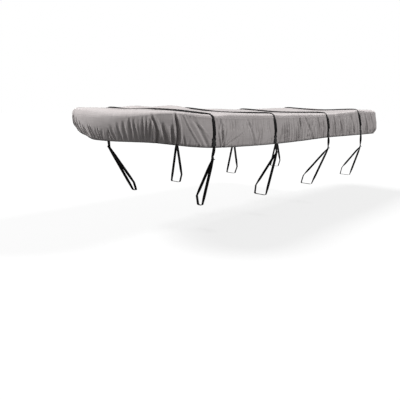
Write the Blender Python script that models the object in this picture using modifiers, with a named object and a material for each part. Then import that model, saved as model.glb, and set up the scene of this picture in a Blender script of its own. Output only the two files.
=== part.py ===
"""Fitted boat cover with four tie-down straps, in the shape in which it lies when it is tied down.

Metres, +X to the bow, +Y to port, +Z up. The origin is under the top cloth, at mid-length on the centreline.
The cover is one sheet, hollow and open below. Webbing passes over it four times, and on each side it ends
in a side-release buckle, a short drop, an adjuster and a loop that stands open for a bar.
"""
import math

import bmesh
import bpy
from mathutils import Vector

CLOTH = 0.003              # thickness of the cover
STRAP_WIDTH = 0.050        # webbing over the cover
LOOP_WIDTH = 0.050         # webbing of the lower loops
WEBBING = 0.002            # thickness of both
SEAT_GAP = 0.0008          # between webbing and the cloth under it
END_GAP = 0.0004           # between pieces that meet end to end
SHOULDER_GAP = 0.002       # where webbing bends over the cover's shoulder
BUCKLE = Vector((0.074, 0.105, 0.016))      # width, length, thickness
BUCKLE_EDGE = 0.004
BUCKLE_GAP = 0.002         # between a buckle's back and the cover
STRAP_RISE = 0.030         # how far above its buckle the webbing leaves the cloth
ADJUSTER = Vector((0.056, 0.030, 0.009))
ADJUSTER_EDGE = 0.0025
DROP_BULGE = 0.006         # how far the drop's middle stands out
APEX_HALF = 0.010          # half the width of the loop's top
LOOP_CLEAR = 0.002         # between a loop and the bar that it goes round
LOOP_CORNER = 0.010
BAND = 0.5 * BUCKLE.x + 0.006               # half the width of the plain strip under a strap
BAR_HEIGHT = 0.133         # of the bar that a loop goes round

BOW_START = 2.45           # where the sides begin to round in to the bow
BOW_LENGTH = 1.25
BOW_POWER = 2.15           # 2 is an ellipse, more is blunter
STERN = -3.86
STERN_CORNER = 0.24        # plan radius of the stern's corners
OUTLINE_STEPS = 240        # points on the bow's curve, and as many along the side
CORNER_STEPS = 40          # on the stern's corner
STERN_STEPS = 20           # across the stern to its centre
TANGENT_STEPS = 4          # how many points to either side give the outline's direction
TIP_FLAT = 0.02            # this near bow tip and stern centre the outline runs straight across

# The cover from stern to bow. half: half width at the shoulder. flare: how far the hem stands outside
# that. port, mid, star: height of the top cloth at each edge and on the centreline. hem: height of the
# hem. round: radius of the shoulder.
STATION_COLUMNS = ("x", "half", "flare", "port", "mid", "star", "hem", "round")
STATIONS = (
    (-3.90, 0.900, 0.045, 0.096, 0.078, 0.090, -0.440, 0.085),
    (-3.45, 0.925, 0.075, 0.100, 0.070, 0.095, -0.437, 0.070),
    (-2.69, 0.945, 0.095, 0.098, 0.060, 0.095, -0.432, 0.060),
    (-1.85, 0.995, 0.080, 0.052, 0.030, 0.070, -0.427, 0.060),
    (-0.98, 1.040, 0.058, 0.027, 0.008, 0.048, -0.423, 0.060),
    (0.00, 1.036, 0.050, 0.018, 0.003, 0.050, -0.446, 0.060),
    (0.87, 1.026, 0.042, 0.016, 0.000, 0.055, -0.459, 0.060),
    (1.65, 1.058, 0.036, 0.020, 0.030, 0.055, -0.450, 0.064),
    (2.46, 1.080, 0.028, 0.028, 0.043, 0.054, -0.429, 0.060),
    (2.85, 1.080, 0.010, 0.036, 0.050, 0.054, -0.401, 0.042),
    (3.10, 1.080, -0.020, 0.044, 0.054, 0.054, -0.372, 0.036),
    (3.30, 1.080, -0.055, 0.048, 0.057, 0.054, -0.351, 0.050),
    (3.50, 1.080, -0.085, 0.047, 0.059, 0.053, -0.346, 0.085),
    (3.70, 1.080, -0.120, 0.046, 0.060, 0.052, -0.352, 0.100),
)

# Where the top cloth is lifted or sinks: x, y, height and reach.
HUMPS = (
    (2.22, -0.72, 0.055, 0.26),
    (1.62, -0.50, 0.070, 0.30),
    (0.20, -0.10, -0.014, 0.60),
    (-1.80, 0.05, -0.020, 0.50),
)

# The straps. x: where it crosses the cover. skew: how far its starboard end lies further forward. foot_port,
# foot_star: x of each loop's foot. knee, knee_z: the adjuster, out from the centreline and its height.
# bar, bar_wide, bar_z: outer face, width and underside of the bar that the loop has room for.
STRAP_COLUMNS = ("x", "skew", "foot_port", "foot_star", "knee", "knee_z", "bar", "bar_wide", "bar_z")
STRAPS = (
    (2.482, 0.082, 2.319, 2.240, 1.098, -0.575, 0.800, 0.078, -1.293),
    (0.867, 0.000, 0.957, 1.100, 1.108, -0.580, 1.005, 0.210, -1.293),
    (-0.975, 0.000, -0.620, -0.620, 1.122, -0.608, 1.005, 0.210, -1.293),
    (-2.687, 0.000, -2.380, -2.380, 1.062, -0.672, 1.005, 0.210, -1.293),
)

# The main folds of the side, by their distance along the shoulder from the bow's tip. top, foot: that
# distance at the fold's upper and lower end. high, low: where those ends are, from the hem at 0 to the
# shoulder at 1. wide, deep: half width and depth of the trough. The columns are in that order.
FOLDS = (
    (0.12, 0.10, 0.85, 0.00, 0.030, 0.014),
    (0.30, 0.24, 0.80, 0.00, 0.030, 0.014),
    (0.46, 0.45, 0.80, 0.00, 0.028, 0.016),
    (0.62, 0.61, 0.90, 0.00, 0.028, 0.016),
    (0.77, 0.76, 0.95, 0.00, 0.030, 0.018),
    (0.94, 1.01, 1.00, 0.00, 0.034, 0.032),
    (1.10, 1.16, 0.60, 0.00, 0.030, 0.022),
    (1.27, 1.27, 1.00, 0.00, 0.036, 0.044),
    (1.40, 1.66, 1.00, 0.30, 0.034, 0.014),
    (1.98, 2.04, 0.95, 0.00, 0.034, 0.014),
    (2.48, 2.16, 0.60, 0.00, 0.034, 0.016),
    (2.66, 2.86, 0.90, 0.00, 0.034, 0.014),
    (3.04, 2.99, 0.60, 0.00, 0.032, 0.012),
    (3.66, 3.56, 0.60, 0.00, 0.032, 0.014),
    (4.24, 4.22, 1.00, 0.00, 0.034, 0.016),
    (4.46, 4.70, 0.95, 0.00, 0.034, 0.016),
    (4.90, 4.94, 0.95, 0.00, 0.034, 0.018),
    (5.62, 5.58, 1.00, 0.00, 0.036, 0.022),
    (5.88, 5.97, 1.00, 0.00, 0.036, 0.018),
    (6.54, 6.62, 0.95, 0.00, 0.036, 0.018),
    (7.36, 7.42, 0.95, 0.00, 0.036, 0.020),
    (7.66, 7.84, 1.00, 0.00, 0.036, 0.020),
    (8.30, 8.32, 0.90, 0.00, 0.036, 0.018),
)
FOLD_FADE = (0.25, 0.55)                              # how softly a fold starts and ends, as a share of it
FOLD_RIDGE = 0.35                                     # height of the ridge beside a trough, as a share of it
RIDGE_AT, RIDGE_SPREAD = 1.7, 0.6                     # in half widths, where that ridge is and how broad
FOLD_REACH = 3.2                                      # in half widths, where a fold and its ridges end
HEM_FOLD = 0.35                                       # what the hem keeps of a fold
HEM_FOLD_TO = 0.12                                    # the height at which the fold is whole again
STRAP_PRESS = 0.07                                    # beside a strap, over how much the folds grow back
TOP_PRESS = 0.16                                      # and the humps, from a little further out
TOP_MARGIN = 0.01
FLARE_POWER = 1.2                                     # how early the side flares on its way down
HEM_LIFT = (0.60, 0.45, 0.065, 0.30)                  # starboard bow: distance, reach, height and soft start
SIDE_BELLY = 0.012                                    # how far the side bellies out half way down
SIDE_HEIGHTS = (0.0, 0.06, 0.32, 0.56, 0.80, 1.0)     # rows up the side, hem to shoulder
STRAP_ROW = 2                                         # the row at which the webbing meets its buckle
SHOULDER_ANGLES = (30.0, 60.0, 90.0)                  # rows round the shoulder
TOP_SHARES = (0.30, 0.65, 1.0)                        # rows in to the centreline
COLUMN_SPACING = 0.17                                 # where no fold or strap asks for a column
COLUMN_MIN = 0.016
FOLD_COLUMNS = (-1.5, -0.6, 0.6, 1.5)                 # in half widths, the columns beside a fold
END_MARGIN = 0.06                                     # no folds this near bow tip and stern centre
HEM_TUCK = 0.012                                      # how far the elastic draws the hem's edge in
BOW_FAN = 2.62                                        # columns forward of here fan out from the centreline
BOW_FAN_TIP = 3.05
STERN_FAN = -3.05
STERN_FAN_TIP = -3.45
SKEW_AT_HEM = 0.1                                     # what is left of a strap's skew at the hem
SKEW_SPREAD = 0.34                                    # how far from the strap the cloth is still skewed
STARBOARD_DEPTH = 0.8                                 # the starboard folds are a little shallower

WEB_BLACK = (0.012, 0.011, 0.012)


# ---------------------------------------------------------------- shape of the cover


def ease(value):
    """0 below 0, 1 above 1 and smooth between."""
    value = min(1.0, max(0.0, value))
    return value * value * (3.0 - 2.0 * value)


def station(x):
    """The station values at x, on smooth curves through the table's rows."""
    rows = STATIONS
    x = min(max(x, rows[0][0]), rows[-1][0])
    k = next(i for i in range(len(rows) - 1) if x <= rows[i + 1][0])
    before, low, high, after = rows[max(k - 1, 0)], rows[k], rows[k + 1], rows[min(k + 2, len(rows) - 1)]
    span = high[0] - low[0]
    t = (x - low[0]) / span
    values = {}
    for c, name in enumerate(STATION_COLUMNS):
        slope_low = (high[c] - before[c]) / max(high[0] - before[0], 1e-6) * span
        slope_high = (after[c] - low[c]) / max(after[0] - low[0], 1e-6) * span
        values[name] = (
            (2 * t**3 - 3 * t**2 + 1) * low[c] + (t**3 - 2 * t**2 + t) * slope_low
            + (3 * t**2 - 2 * t**3) * high[c] + (t**3 - t**2) * slope_high
        )
    return values


def outline():
    """The shoulder's plan on the port side, bow tip to stern centre: points with the distance to each."""
    points = []
    beam = station(BOW_START)["half"]
    for k in range(OUTLINE_STEPS):
        turn = 0.5 * math.pi * k / OUTLINE_STEPS
        x = BOW_START + BOW_LENGTH * math.cos(turn) ** (2.0 / BOW_POWER)
        points.append((x, beam * math.sin(turn) ** (2.0 / BOW_POWER)))
    corner_x = STERN + STERN_CORNER
    for k in range(OUTLINE_STEPS + 1):
        x = BOW_START + (corner_x - BOW_START) * k / OUTLINE_STEPS
        points.append((x, station(x)["half"]))
    corner_y = points[-1][1] - STERN_CORNER
    for k in range(1, CORNER_STEPS + 1):
        turn = 0.5 * math.pi * k / CORNER_STEPS
        points.append((corner_x - STERN_CORNER * math.sin(turn), corner_y + STERN_CORNER * math.cos(turn)))
    for k in range(1, STERN_STEPS + 1):
        points.append((STERN, corner_y * (1.0 - k / STERN_STEPS)))
    reach = [0.0]
    for a, b in zip(points, points[1:]):
        reach.append(reach[-1] + math.dist(a, b))
    return points, reach


POINTS, REACH = outline()
GIRTH = REACH[-1]


def on_outline(g):
    """Place and outward direction on the port outline at distance g from the bow's tip."""
    g = min(max(g, 0.0), GIRTH)
    k = next(i for i in range(len(REACH) - 1) if g <= REACH[i + 1])
    t = (g - REACH[k]) / (REACH[k + 1] - REACH[k])
    a, b = Vector(POINTS[k]), Vector(POINTS[k + 1])
    first, last = max(k - TANGENT_STEPS, 0), min(k + TANGENT_STEPS + 1, len(POINTS) - 1)
    along = Vector(POINTS[last]) - Vector(POINTS[first])
    if g < TIP_FLAT:
        along = Vector((0.0, 1.0))
    if g > GIRTH - TIP_FLAT:
        along = Vector((0.0, -1.0))
    return a.lerp(b, t), Vector((along.y, -along.x)).normalized()


def distance_at(x):
    """The distance along the port outline at which it passes x."""
    k = next(i for i in range(len(POINTS) - 1) if POINTS[i + 1][0] <= x)
    t = (POINTS[k][0] - x) / (POINTS[k][0] - POINTS[k + 1][0])
    return REACH[k] + t * (REACH[k + 1] - REACH[k])


STRAP_AT = [distance_at(row[0]) for row in STRAPS]


def fold_depth(g, height):
    """How far the folds move the side in at distance g and height 0 to 1. Straps press it flat."""
    depth = 0.0
    for top, foot, high, low, wide, deep in FOLDS:
        t = (height - low) / max(high - low, 1e-6)
        if not -FOLD_FADE[0] < t < 1.0 + FOLD_FADE[0]:
            continue
        across = (g - (foot + (top - foot) * t)) / wide
        if abs(across) > FOLD_REACH:
            continue
        fade = ease((t + FOLD_FADE[0]) / FOLD_FADE[0]) * ease((1.0 + FOLD_FADE[0] - t) / FOLD_FADE[1])
        ridges = math.exp(-((abs(across) - RIDGE_AT) ** 2) / RIDGE_SPREAD)
        depth += deep * fade * (math.exp(-across * across) - FOLD_RIDGE * ridges)
    for centre in STRAP_AT:
        depth *= ease((abs(g - centre) - BAND) / STRAP_PRESS)
    return depth * (HEM_FOLD + (1.0 - HEM_FOLD) * ease(height / HEM_FOLD_TO))


def starboard_shift(g):
    """How much nearer the bow a starboard column stands than its port twin."""
    shift = 0.0
    for row, centre in zip(STRAPS, STRAP_AT):
        shift += row[1] * math.exp(-(((g - centre) / SKEW_SPREAD) ** 2))
    return shift


def top_height(x, y, side_z):
    """Height of the top cloth at x and y, where side_z is the height of the edge on that side."""
    here = station(x)
    share = min(1.0, abs(y) / here["half"])
    height = here["mid"] + (side_z - here["mid"]) * ease(share)
    lift = 0.0
    for hump_x, hump_y, rise, spread in HUMPS:
        lift += rise * math.exp(-(((x - hump_x) / spread) ** 2 + ((y - hump_y) / spread) ** 2))
    for row in STRAPS:
        strap_x = row[0] + row[1] * min(1.0, max(0.0, -y / here["half"]))
        lift *= ease((abs(x - strap_x) - BAND - TOP_MARGIN) / TOP_PRESS)
    return height + lift


def spine_x(g):
    """Where on the centreline the column at distance g meets its twin."""
    x = on_outline(g)[0].x
    bow_g, stern_g = distance_at(BOW_FAN), distance_at(STERN_FAN)
    if g < bow_g:
        return BOW_FAN_TIP + (BOW_FAN - BOW_FAN_TIP) * g / bow_g
    if g > stern_g:
        return STERN_FAN + (STERN_FAN_TIP - STERN_FAN) * (g - stern_g) / (GIRTH - stern_g)
    return x


def side_column(top_g, foot_g, side):
    """One column of points from the hem up to the shoulder and in to the centreline; side is 1 for port."""
    if side < 0:
        top_g -= starboard_shift(top_g)
        foot_g -= starboard_shift(foot_g) * SKEW_AT_HEM
    points = []
    depth_share = 1.0 if side > 0 else STARBOARD_DEPTH
    for height in SIDE_HEIGHTS:
        g = foot_g + (top_g - foot_g) * height
        place, out = on_outline(g)
        here = station(place.x)
        edge = here["port"] if side > 0 else here["star"]
        shoulder_z = edge - here["round"]
        fall = 1.0 - height
        offset = here["flare"] * fall ** FLARE_POWER + SIDE_BELLY * math.sin(math.pi * fall)
        offset -= depth_share * fold_depth(g, height)
        hem = here["hem"]
        if side < 0:
            hem += HEM_LIFT[2] * math.exp(-(((g - HEM_LIFT[0]) / HEM_LIFT[1]) ** 2)) * ease(g / HEM_LIFT[3])
        if height == 0.0:
            offset -= HEM_TUCK
        at = place + out * offset
        points.append(Vector((at.x, side * at.y, hem + (shoulder_z - hem) * height)))
    place, out = on_outline(top_g)
    here = station(place.x)
    edge = here["port"] if side > 0 else here["star"]
    sink = depth_share * fold_depth(top_g, 1.0)
    for angle in SHOULDER_ANGLES:
        turn = math.radians(angle)
        at = place - out * (here["round"] * (1.0 - math.cos(turn)) + sink * (1.0 - angle / 90.0))
        hump = top_height(at.x, side * at.y, edge) - edge
        z = edge - here["round"] * (1.0 - math.sin(turn)) + hump * math.sin(turn)
        points.append(Vector((at.x, side * at.y, z)))
    inner = Vector((points[-1].x, points[-1].y))
    meet = Vector((0.5 * (spine_x(top_g) + spine_x(top_g + starboard_shift(top_g) * (side < 0))), 0.0))
    for share in TOP_SHARES:
        at = inner.lerp(meet, share)
        points.append(Vector((at.x, at.y, top_height(at.x, at.y, edge))))
    return points


def columns():
    """Pairs of distances (at the shoulder, at the hem) of the columns between bow tip and stern centre."""
    wanted = []
    for centre in STRAP_AT:
        wanted += [(centre + edge, centre + edge) for edge in (-BAND, BAND)]
    for top, foot, high, low, wide, deep in FOLDS:
        lean = (top - foot) / max(high - low, 1e-6)
        for step in FOLD_COLUMNS:
            wanted.append((top + lean * (1.0 - high) + step * wide, foot - lean * low + step * wide))
    kept = []
    for pair in wanted:
        on_band = len(kept) >= 2 * len(STRAP_AT) and any(
            abs(end - centre) < BAND + COLUMN_MIN for end in pair for centre in STRAP_AT)
        crossing = any((pair[0] - k[0]) * (pair[1] - k[1]) <= 0 for k in kept)
        close = any(min(abs(pair[0] - k[0]), abs(pair[1] - k[1])) < COLUMN_MIN for k in kept)
        inside = END_MARGIN < min(pair) and max(pair) < GIRTH - END_MARGIN
        if inside and not (on_band or crossing or close):
            kept.append(pair)
    kept = [(0.0, 0.0)] + sorted(kept) + [(GIRTH, GIRTH)]
    full = [kept[0]]
    for low, high in zip(kept, kept[1:]):
        parts = max(1, round(max(high[0] - low[0], high[1] - low[1]) / COLUMN_SPACING))
        for k in range(1, parts + 1):
            full.append(tuple(low[c] + (high[c] - low[c]) * k / parts for c in (0, 1)))
    return full


# ---------------------------------------------------------------- making the pieces


def material(name, colour, roughness):
    made = bpy.data.materials.new(name)
    made.use_nodes = True
    shader = made.node_tree.nodes["Principled BSDF"]
    shader.inputs["Base Color"].default_value = (*colour, 1.0)
    shader.inputs["Roughness"].default_value = roughness
    return made


def add_piece(name, mesh_builder, collection, finish):
    """Link a new object whose faces come from a bmesh."""
    mesh_builder.normal_update()
    bmesh.ops.recalc_face_normals(mesh_builder, faces=mesh_builder.faces[:])
    data = bpy.data.meshes.new(name)
    mesh_builder.to_mesh(data)
    mesh_builder.free()
    data.materials.append(finish)
    piece = bpy.data.objects.new(name, data)
    collection.objects.link(piece)
    return piece


def make_cover(collection, finish):
    """The sheet: columns on both sides that share the centreline, thickened inwards."""
    grid = bmesh.new()
    pairs = columns()
    spine, sides = [], {1: [], -1: []}
    for n, (top_g, foot_g) in enumerate(pairs):
        port = side_column(top_g, foot_g, 1)
        star = side_column(top_g, foot_g, -1)
        if n in (0, len(pairs) - 1):
            for row in (*port, *star):
                row.y = 0.0
        spine.append(grid.verts.new((port[-1] + star[-1]) / 2.0))
        sides[1].append([grid.verts.new(p) for p in port[:-1]])
        if n in (0, len(pairs) - 1):
            sides[-1].append(sides[1][-1])
        else:
            sides[-1].append([grid.verts.new(p) for p in star[:-1]])
    for side, run in sides.items():
        for n in range(len(run) - 1):
            low, high = run[n] + [spine[n]], run[n + 1] + [spine[n + 1]]
            for k in range(len(low) - 1):
                corners = [low[k], high[k], high[k + 1], low[k + 1]]
                grid.faces.new(corners if side > 0 else corners[::-1])
    bmesh.ops.recalc_face_normals(grid, faces=grid.faces[:])
    top = max(grid.faces, key=lambda face: face.calc_center_median().z)
    if top.normal.z < 0.0:
        bmesh.ops.reverse_faces(grid, faces=grid.faces[:])
    data = bpy.data.meshes.new("cover")
    grid.to_mesh(data)
    grid.free()
    data.materials.append(finish)
    cover = bpy.data.objects.new("cover", data)
    collection.objects.link(cover)
    shell = cover.modifiers.new("Thickness", "SOLIDIFY")
    shell.thickness = CLOTH
    shell.offset = -1.0
    shell.use_rim = True
    return cover


def band(number, side):
    """The cover under a strap, hem to centreline: the middle points, and the direction across the webbing."""
    centre = STRAP_AT[number]
    fore = side_column(centre - BAND, centre - BAND, side)
    aft = side_column(centre + BAND, centre + BAND, side)
    return [(a + b) / 2.0 for a, b in zip(fore, aft)], [(b - a).normalized() for a, b in zip(fore, aft)]


def section(number):
    """The cover under a strap from the port hem to the starboard hem, as middle points and directions."""
    port, port_across = band(number, 1)
    star, star_across = band(number, -1)
    port[-1] = (port[-1] + star[-1]) / 2.0
    port_across[-1] = (port_across[-1] + star_across[-1]).normalized()
    return port + star[-2::-1], port_across + star_across[-2::-1]


def outward(line, across):
    """At each point of a line, how it moves for a unit step outwards, square to its stretches."""
    steps = []
    for k, point in enumerate(line):
        first = (point - line[max(k - 1, 0)]).normalized()
        second = (line[min(k + 1, len(line) - 1)] - point).normalized()
        if k == 0:
            first = second
        if k == len(line) - 1:
            second = first
        normals = [across[k].cross(v).normalized() for v in (first, second)]
        middle = (normals[0] + normals[1]).normalized()
        steps.append(middle / max(0.5, middle.dot(normals[0])))
    return steps


def ribbon(name, inner, outer, across, width, collection, finish, closed=False):
    """Webbing between two lines of points, spread by half its width to each side."""
    made = bmesh.new()
    rings = []
    for a, b, direction in zip(inner, outer, across):
        spread = direction * 0.5 * width
        rings.append([made.verts.new(p) for p in (a - spread, a + spread, b + spread, b - spread)])
    pairs = list(zip(rings, rings[1:] + rings[:1])) if closed else list(zip(rings, rings[1:]))
    for low, high in pairs:
        for k in range(4):
            made.faces.new((low[k], low[(k + 1) % 4], high[(k + 1) % 4], high[k]))
    if not closed:
        made.faces.new(rings[0])
        made.faces.new(rings[-1][::-1])
    return add_piece(name, made, collection, finish)


def make_over_strap(number, collection, finish):
    """Webbing over the cover, from the port buckle to the starboard one."""
    full, turned = section(number)
    line, across = full[STRAP_ROW:-STRAP_ROW], turned[STRAP_ROW:-STRAP_ROW]
    steps = outward(line, across)
    steps[0] = across[0].cross(full[STRAP_ROW] - full[STRAP_ROW - 1]).normalized()
    steps[-1] = across[-1].cross(full[-STRAP_ROW] - full[-1 - STRAP_ROW]).normalized()
    shoulder = range(len(SIDE_HEIGHTS) - 1 - STRAP_ROW, len(SIDE_HEIGHTS) + len(SHOULDER_ANGLES) - STRAP_ROW)
    inner = []
    for k, (point, step) in enumerate(zip(line, steps)):
        near = min(k, len(line) - 1 - k)
        inner.append(point + step * (SHOULDER_GAP if near in shoulder else SEAT_GAP))
    # each end rises from the cloth to the middle of its buckle
    for end, beside, spot in ((len(inner) - 1, len(inner) - 2, len(inner) - 1), (0, 1, 1)):
        rise = inner[end].lerp(inner[beside], STRAP_RISE / (inner[beside] - inner[end]).length)
        inner[end] = inner[end] + steps[end] * (BUCKLE_GAP + 0.5 * (BUCKLE.z - WEBBING) - SEAT_GAP)
        inner.insert(spot, rise)
        steps.insert(spot, steps[end])
        across.insert(spot, across[end])
    outer = [point + step * WEBBING for point, step in zip(inner, steps)]
    ribbon(f"over_strap_{number + 1}", inner, outer, across, STRAP_WIDTH, collection, finish)


def place_block(name, size, centre, axes, collection, finish, bevel):
    """A moulded block with bevelled edges; axes are the directions of its width, length and thickness."""
    made = bmesh.new()
    bmesh.ops.create_cube(made, size=1.0)
    for vert in made.verts:
        parts = zip(axes, vert.co, size)
        vert.co = centre + sum((axis * part * full for axis, part, full in parts), Vector())
    piece = add_piece(name, made, collection, finish)
    edge = piece.modifiers.new("Edge", "BEVEL")
    edge.width = bevel
    edge.segments = 1
    return piece


def make_tie(number, side, collection, webbing, moulded):
    """Buckle, drop, adjuster and loop at one end of a strap."""
    end = f"{number + 1}_{'port' if side > 0 else 'starboard'}"
    row = dict(zip(STRAP_COLUMNS, STRAPS[number]))
    line, directions = band(number, side)
    across = directions[1]
    down = (line[1] - line[STRAP_ROW]).normalized()
    out = across.cross(down).normalized()
    if out.y * side < 0:
        out = -out
    # the buckle's upper end meets the webbing's end face, and its back lies on the cover
    top = line[STRAP_ROW] + down * END_GAP + out * (BUCKLE_GAP + 0.5 * BUCKLE.z)
    middle = top + down * 0.5 * BUCKLE.y
    place_block(f"buckle_{end}", BUCKLE, middle, (across, down, out), collection, moulded, BUCKLE_EDGE)
    drop_top = top + down * (BUCKLE.y + END_GAP)
    knee = Vector((drop_top.x, side * row["knee"], row["knee_z"]))
    level, upright, facing = Vector((1.0, 0.0, 0.0)), Vector((0.0, 0.0, 1.0)), Vector((0.0, side, 0.0))
    axes = (level, upright, facing)
    place_block(f"adjuster_{end}", ADJUSTER, knee, axes, collection, moulded, ADJUSTER_EDGE)
    seat = knee - upright * 0.5 * ADJUSTER.y
    drop_end = knee + upright * (0.5 * ADJUSTER.y + END_GAP)
    path = [drop_top, (drop_top + drop_end) / 2.0 + facing * DROP_BULGE, drop_end]
    level = level if across.x > 0 else -level
    turned = [across, (across + level).normalized(), level]
    half = facing * 0.5 * WEBBING
    back, front = [point - half for point in path], [point + half for point in path]
    ribbon(f"drop_{end}", back, front, turned, STRAP_WIDTH, collection, webbing)
    make_loop(f"rail_loop_{end}", seat, row, side, collection, webbing)


def make_loop(name, seat, row, side, collection, webbing):
    """A closed band from under the adjuster down, round the bar's place and up again, leaning along X."""
    foot_y, foot_z = row["bar"] - 0.5 * row["bar_wide"], row["bar_z"] + 0.5 * BAR_HEIGHT
    reach_y, reach_z = 0.5 * row["bar_wide"] + LOOP_CLEAR, 0.5 * BAR_HEIGHT + LOOP_CLEAR
    top_z = seat.z - WEBBING - END_GAP
    low_z = foot_z - reach_z
    # the inside of the band, outboard leg first, as distances out from the centreline and heights
    corners = (
        (abs(seat.y) + APEX_HALF, top_z),
        (foot_y + reach_y, low_z + LOOP_CORNER),
        (foot_y + reach_y - LOOP_CORNER, low_z),
        (foot_y - reach_y + LOOP_CORNER, low_z),
        (foot_y - reach_y, low_z + LOOP_CORNER),
        (foot_y - reach_y, foot_z + reach_z),
        (abs(seat.y) - APEX_HALF, top_z),
    )
    lean = (row["foot_port" if side > 0 else "foot_star"] - seat.x) / (top_z - low_z)
    line = [Vector((seat.x + lean * (top_z - z), side * y, z)) for y, z in corners]
    middle = sum(line, Vector()) / len(line)
    outer = []
    for k, point in enumerate(line):
        normals = []
        for v in (point - line[k - 1], line[(k + 1) % len(line)] - point):
            normal = Vector((0.0, -v.z, v.y)).normalized()
            normals.append(normal if normal.dot(point - middle) > 0 else -normal)
        spread = (normals[0] + normals[1]).normalized()
        outer.append(point + spread * WEBBING / max(0.4, spread.dot(normals[0])))
    level = [Vector((1.0, 0.0, 0.0))] * len(line)
    ribbon(name, line, outer, level, LOOP_WIDTH, collection, webbing, closed=True)


def main():
    for existing in list(bpy.data.objects):
        bpy.data.objects.remove(existing, do_unlink=True)
    collection = bpy.data.collections.new("boat_cover")
    bpy.context.scene.collection.children.link(collection)
    canvas = material("canvas_grey", (0.27, 0.25, 0.25), 0.85)
    webbing = material("webbing_black", WEB_BLACK, 0.7)
    moulded = material("moulded_black", (0.02, 0.02, 0.021), 0.45)
    make_cover(collection, canvas)
    for number in range(len(STRAPS)):
        make_over_strap(number, collection, webbing)
        for side in (1, -1):
            make_tie(number, side, collection, webbing, moulded)


main()
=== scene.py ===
# %% [markdown]
# # A fitted cover, tied down with four straps
#
# This lesson dresses a CAD model of a large fitted cover. The cover is one sheet of grey canvas with an
# elastic hem. Four black straps pass over it, and at each of their ends hang a buckle, a short drop, an
# adjuster and a loop. The CAD model gives every size and place, and this script gives the looks. Everything
# is in metres: +X is forward, +Y is to port, which is the side that faces the camera, and +Z is up.

# %% Load the CAD frame
import math

import bpy
import numpy as np
from mathutils import Matrix, Vector


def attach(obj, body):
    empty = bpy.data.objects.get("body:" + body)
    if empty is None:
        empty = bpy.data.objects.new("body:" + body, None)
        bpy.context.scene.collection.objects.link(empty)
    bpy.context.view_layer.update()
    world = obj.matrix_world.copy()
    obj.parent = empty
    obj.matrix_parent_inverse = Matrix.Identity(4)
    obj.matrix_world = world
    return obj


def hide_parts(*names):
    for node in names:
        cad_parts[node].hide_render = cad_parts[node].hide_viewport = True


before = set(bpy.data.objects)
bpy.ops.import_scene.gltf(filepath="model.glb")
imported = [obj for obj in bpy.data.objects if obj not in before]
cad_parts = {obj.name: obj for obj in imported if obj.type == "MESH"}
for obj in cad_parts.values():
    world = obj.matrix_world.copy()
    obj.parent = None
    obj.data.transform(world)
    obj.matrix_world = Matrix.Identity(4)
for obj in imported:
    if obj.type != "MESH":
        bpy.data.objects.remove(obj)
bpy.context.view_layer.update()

# %% [markdown]
# ## The camera
#
# The camera comes first, because it decides how fine each detail has to be. A Track To constraint could aim
# it, but the photograph is also tilted a little, so its three directions are worked out from yaw, pitch and
# roll. A lens of 41 mm on a 36 mm sensor gives the photograph's perspective. It stands 2.1 m above the
# floor.

# %% Camera
CAMERA_PLACE = (7.300, 5.004, 0.149)
SENSOR_MM, LENS_MM = 36.0, 41.459
yaw, pitch, roll = (math.radians(v) for v in (220.473, -11.835, 1.435))
camera_data = bpy.data.cameras.new("camera")
camera_data.sensor_width, camera_data.lens = SENSOR_MM, LENS_MM
camera = bpy.data.objects.new("camera", camera_data)
bpy.context.scene.collection.objects.link(camera)
bpy.context.scene.camera = camera
ahead = Vector((math.cos(pitch) * math.cos(yaw), math.cos(pitch) * math.sin(yaw), math.sin(pitch)))
level = ahead.cross(Vector((0.0, 0.0, 1.0))).normalized()
upright = level.cross(ahead)
right = level * math.cos(roll) + upright * math.sin(roll)
above = upright * math.cos(roll) - level * math.sin(roll)
turned_to = Matrix((right, above, -ahead)).transposed().to_4x4()
camera.matrix_world = Matrix.Translation(CAMERA_PLACE) @ turned_to
print("camera lens:", round(camera_data.lens, 1), "mm")

# %% [markdown]
# ## The outline of the cover
#
# The cloth hangs over something long with a round bow and a square stern. A table gives, for stations along
# the length, the half width, how far the hem flares out, the heights of the edges, the middle and the hem,
# and the radius of the shoulder. Smooth curves run through the table's rows. A spline patch could do the
# same, but a table can be read and corrected number by number, and it is the one that the CAD model was
# made from.

# %% Stations
STATION_COLUMNS = ("x", "half", "flare", "port", "mid", "star", "hem", "round")
STATIONS = np.array((
    (-3.90, 0.900, 0.045, 0.096, 0.078, 0.090, -0.440, 0.085),
    (-3.45, 0.925, 0.075, 0.100, 0.070, 0.095, -0.437, 0.070),
    (-2.69, 0.945, 0.095, 0.098, 0.060, 0.095, -0.432, 0.060),
    (-1.85, 0.995, 0.080, 0.052, 0.030, 0.070, -0.427, 0.060),
    (-0.98, 1.040, 0.058, 0.027, 0.008, 0.048, -0.423, 0.060),
    (0.00, 1.036, 0.050, 0.018, 0.003, 0.050, -0.446, 0.060),
    (0.87, 1.026, 0.042, 0.016, 0.000, 0.055, -0.459, 0.060),
    (1.65, 1.058, 0.036, 0.020, 0.030, 0.055, -0.450, 0.064),
    (2.46, 1.080, 0.028, 0.028, 0.043, 0.054, -0.429, 0.060),
    (2.85, 1.080, 0.010, 0.036, 0.050, 0.054, -0.401, 0.042),
    (3.10, 1.080, -0.020, 0.044, 0.054, 0.054, -0.372, 0.036),
    (3.30, 1.080, -0.055, 0.048, 0.057, 0.054, -0.351, 0.050),
    (3.50, 1.080, -0.085, 0.047, 0.059, 0.053, -0.346, 0.085),
    (3.70, 1.080, -0.120, 0.046, 0.060, 0.052, -0.352, 0.100),
))
PADDED = np.vstack([STATIONS[:1], STATIONS, STATIONS[-1:]])
SLOPES = (PADDED[2:] - PADDED[:-2]) / (PADDED[2:, :1] - PADDED[:-2, :1])


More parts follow.
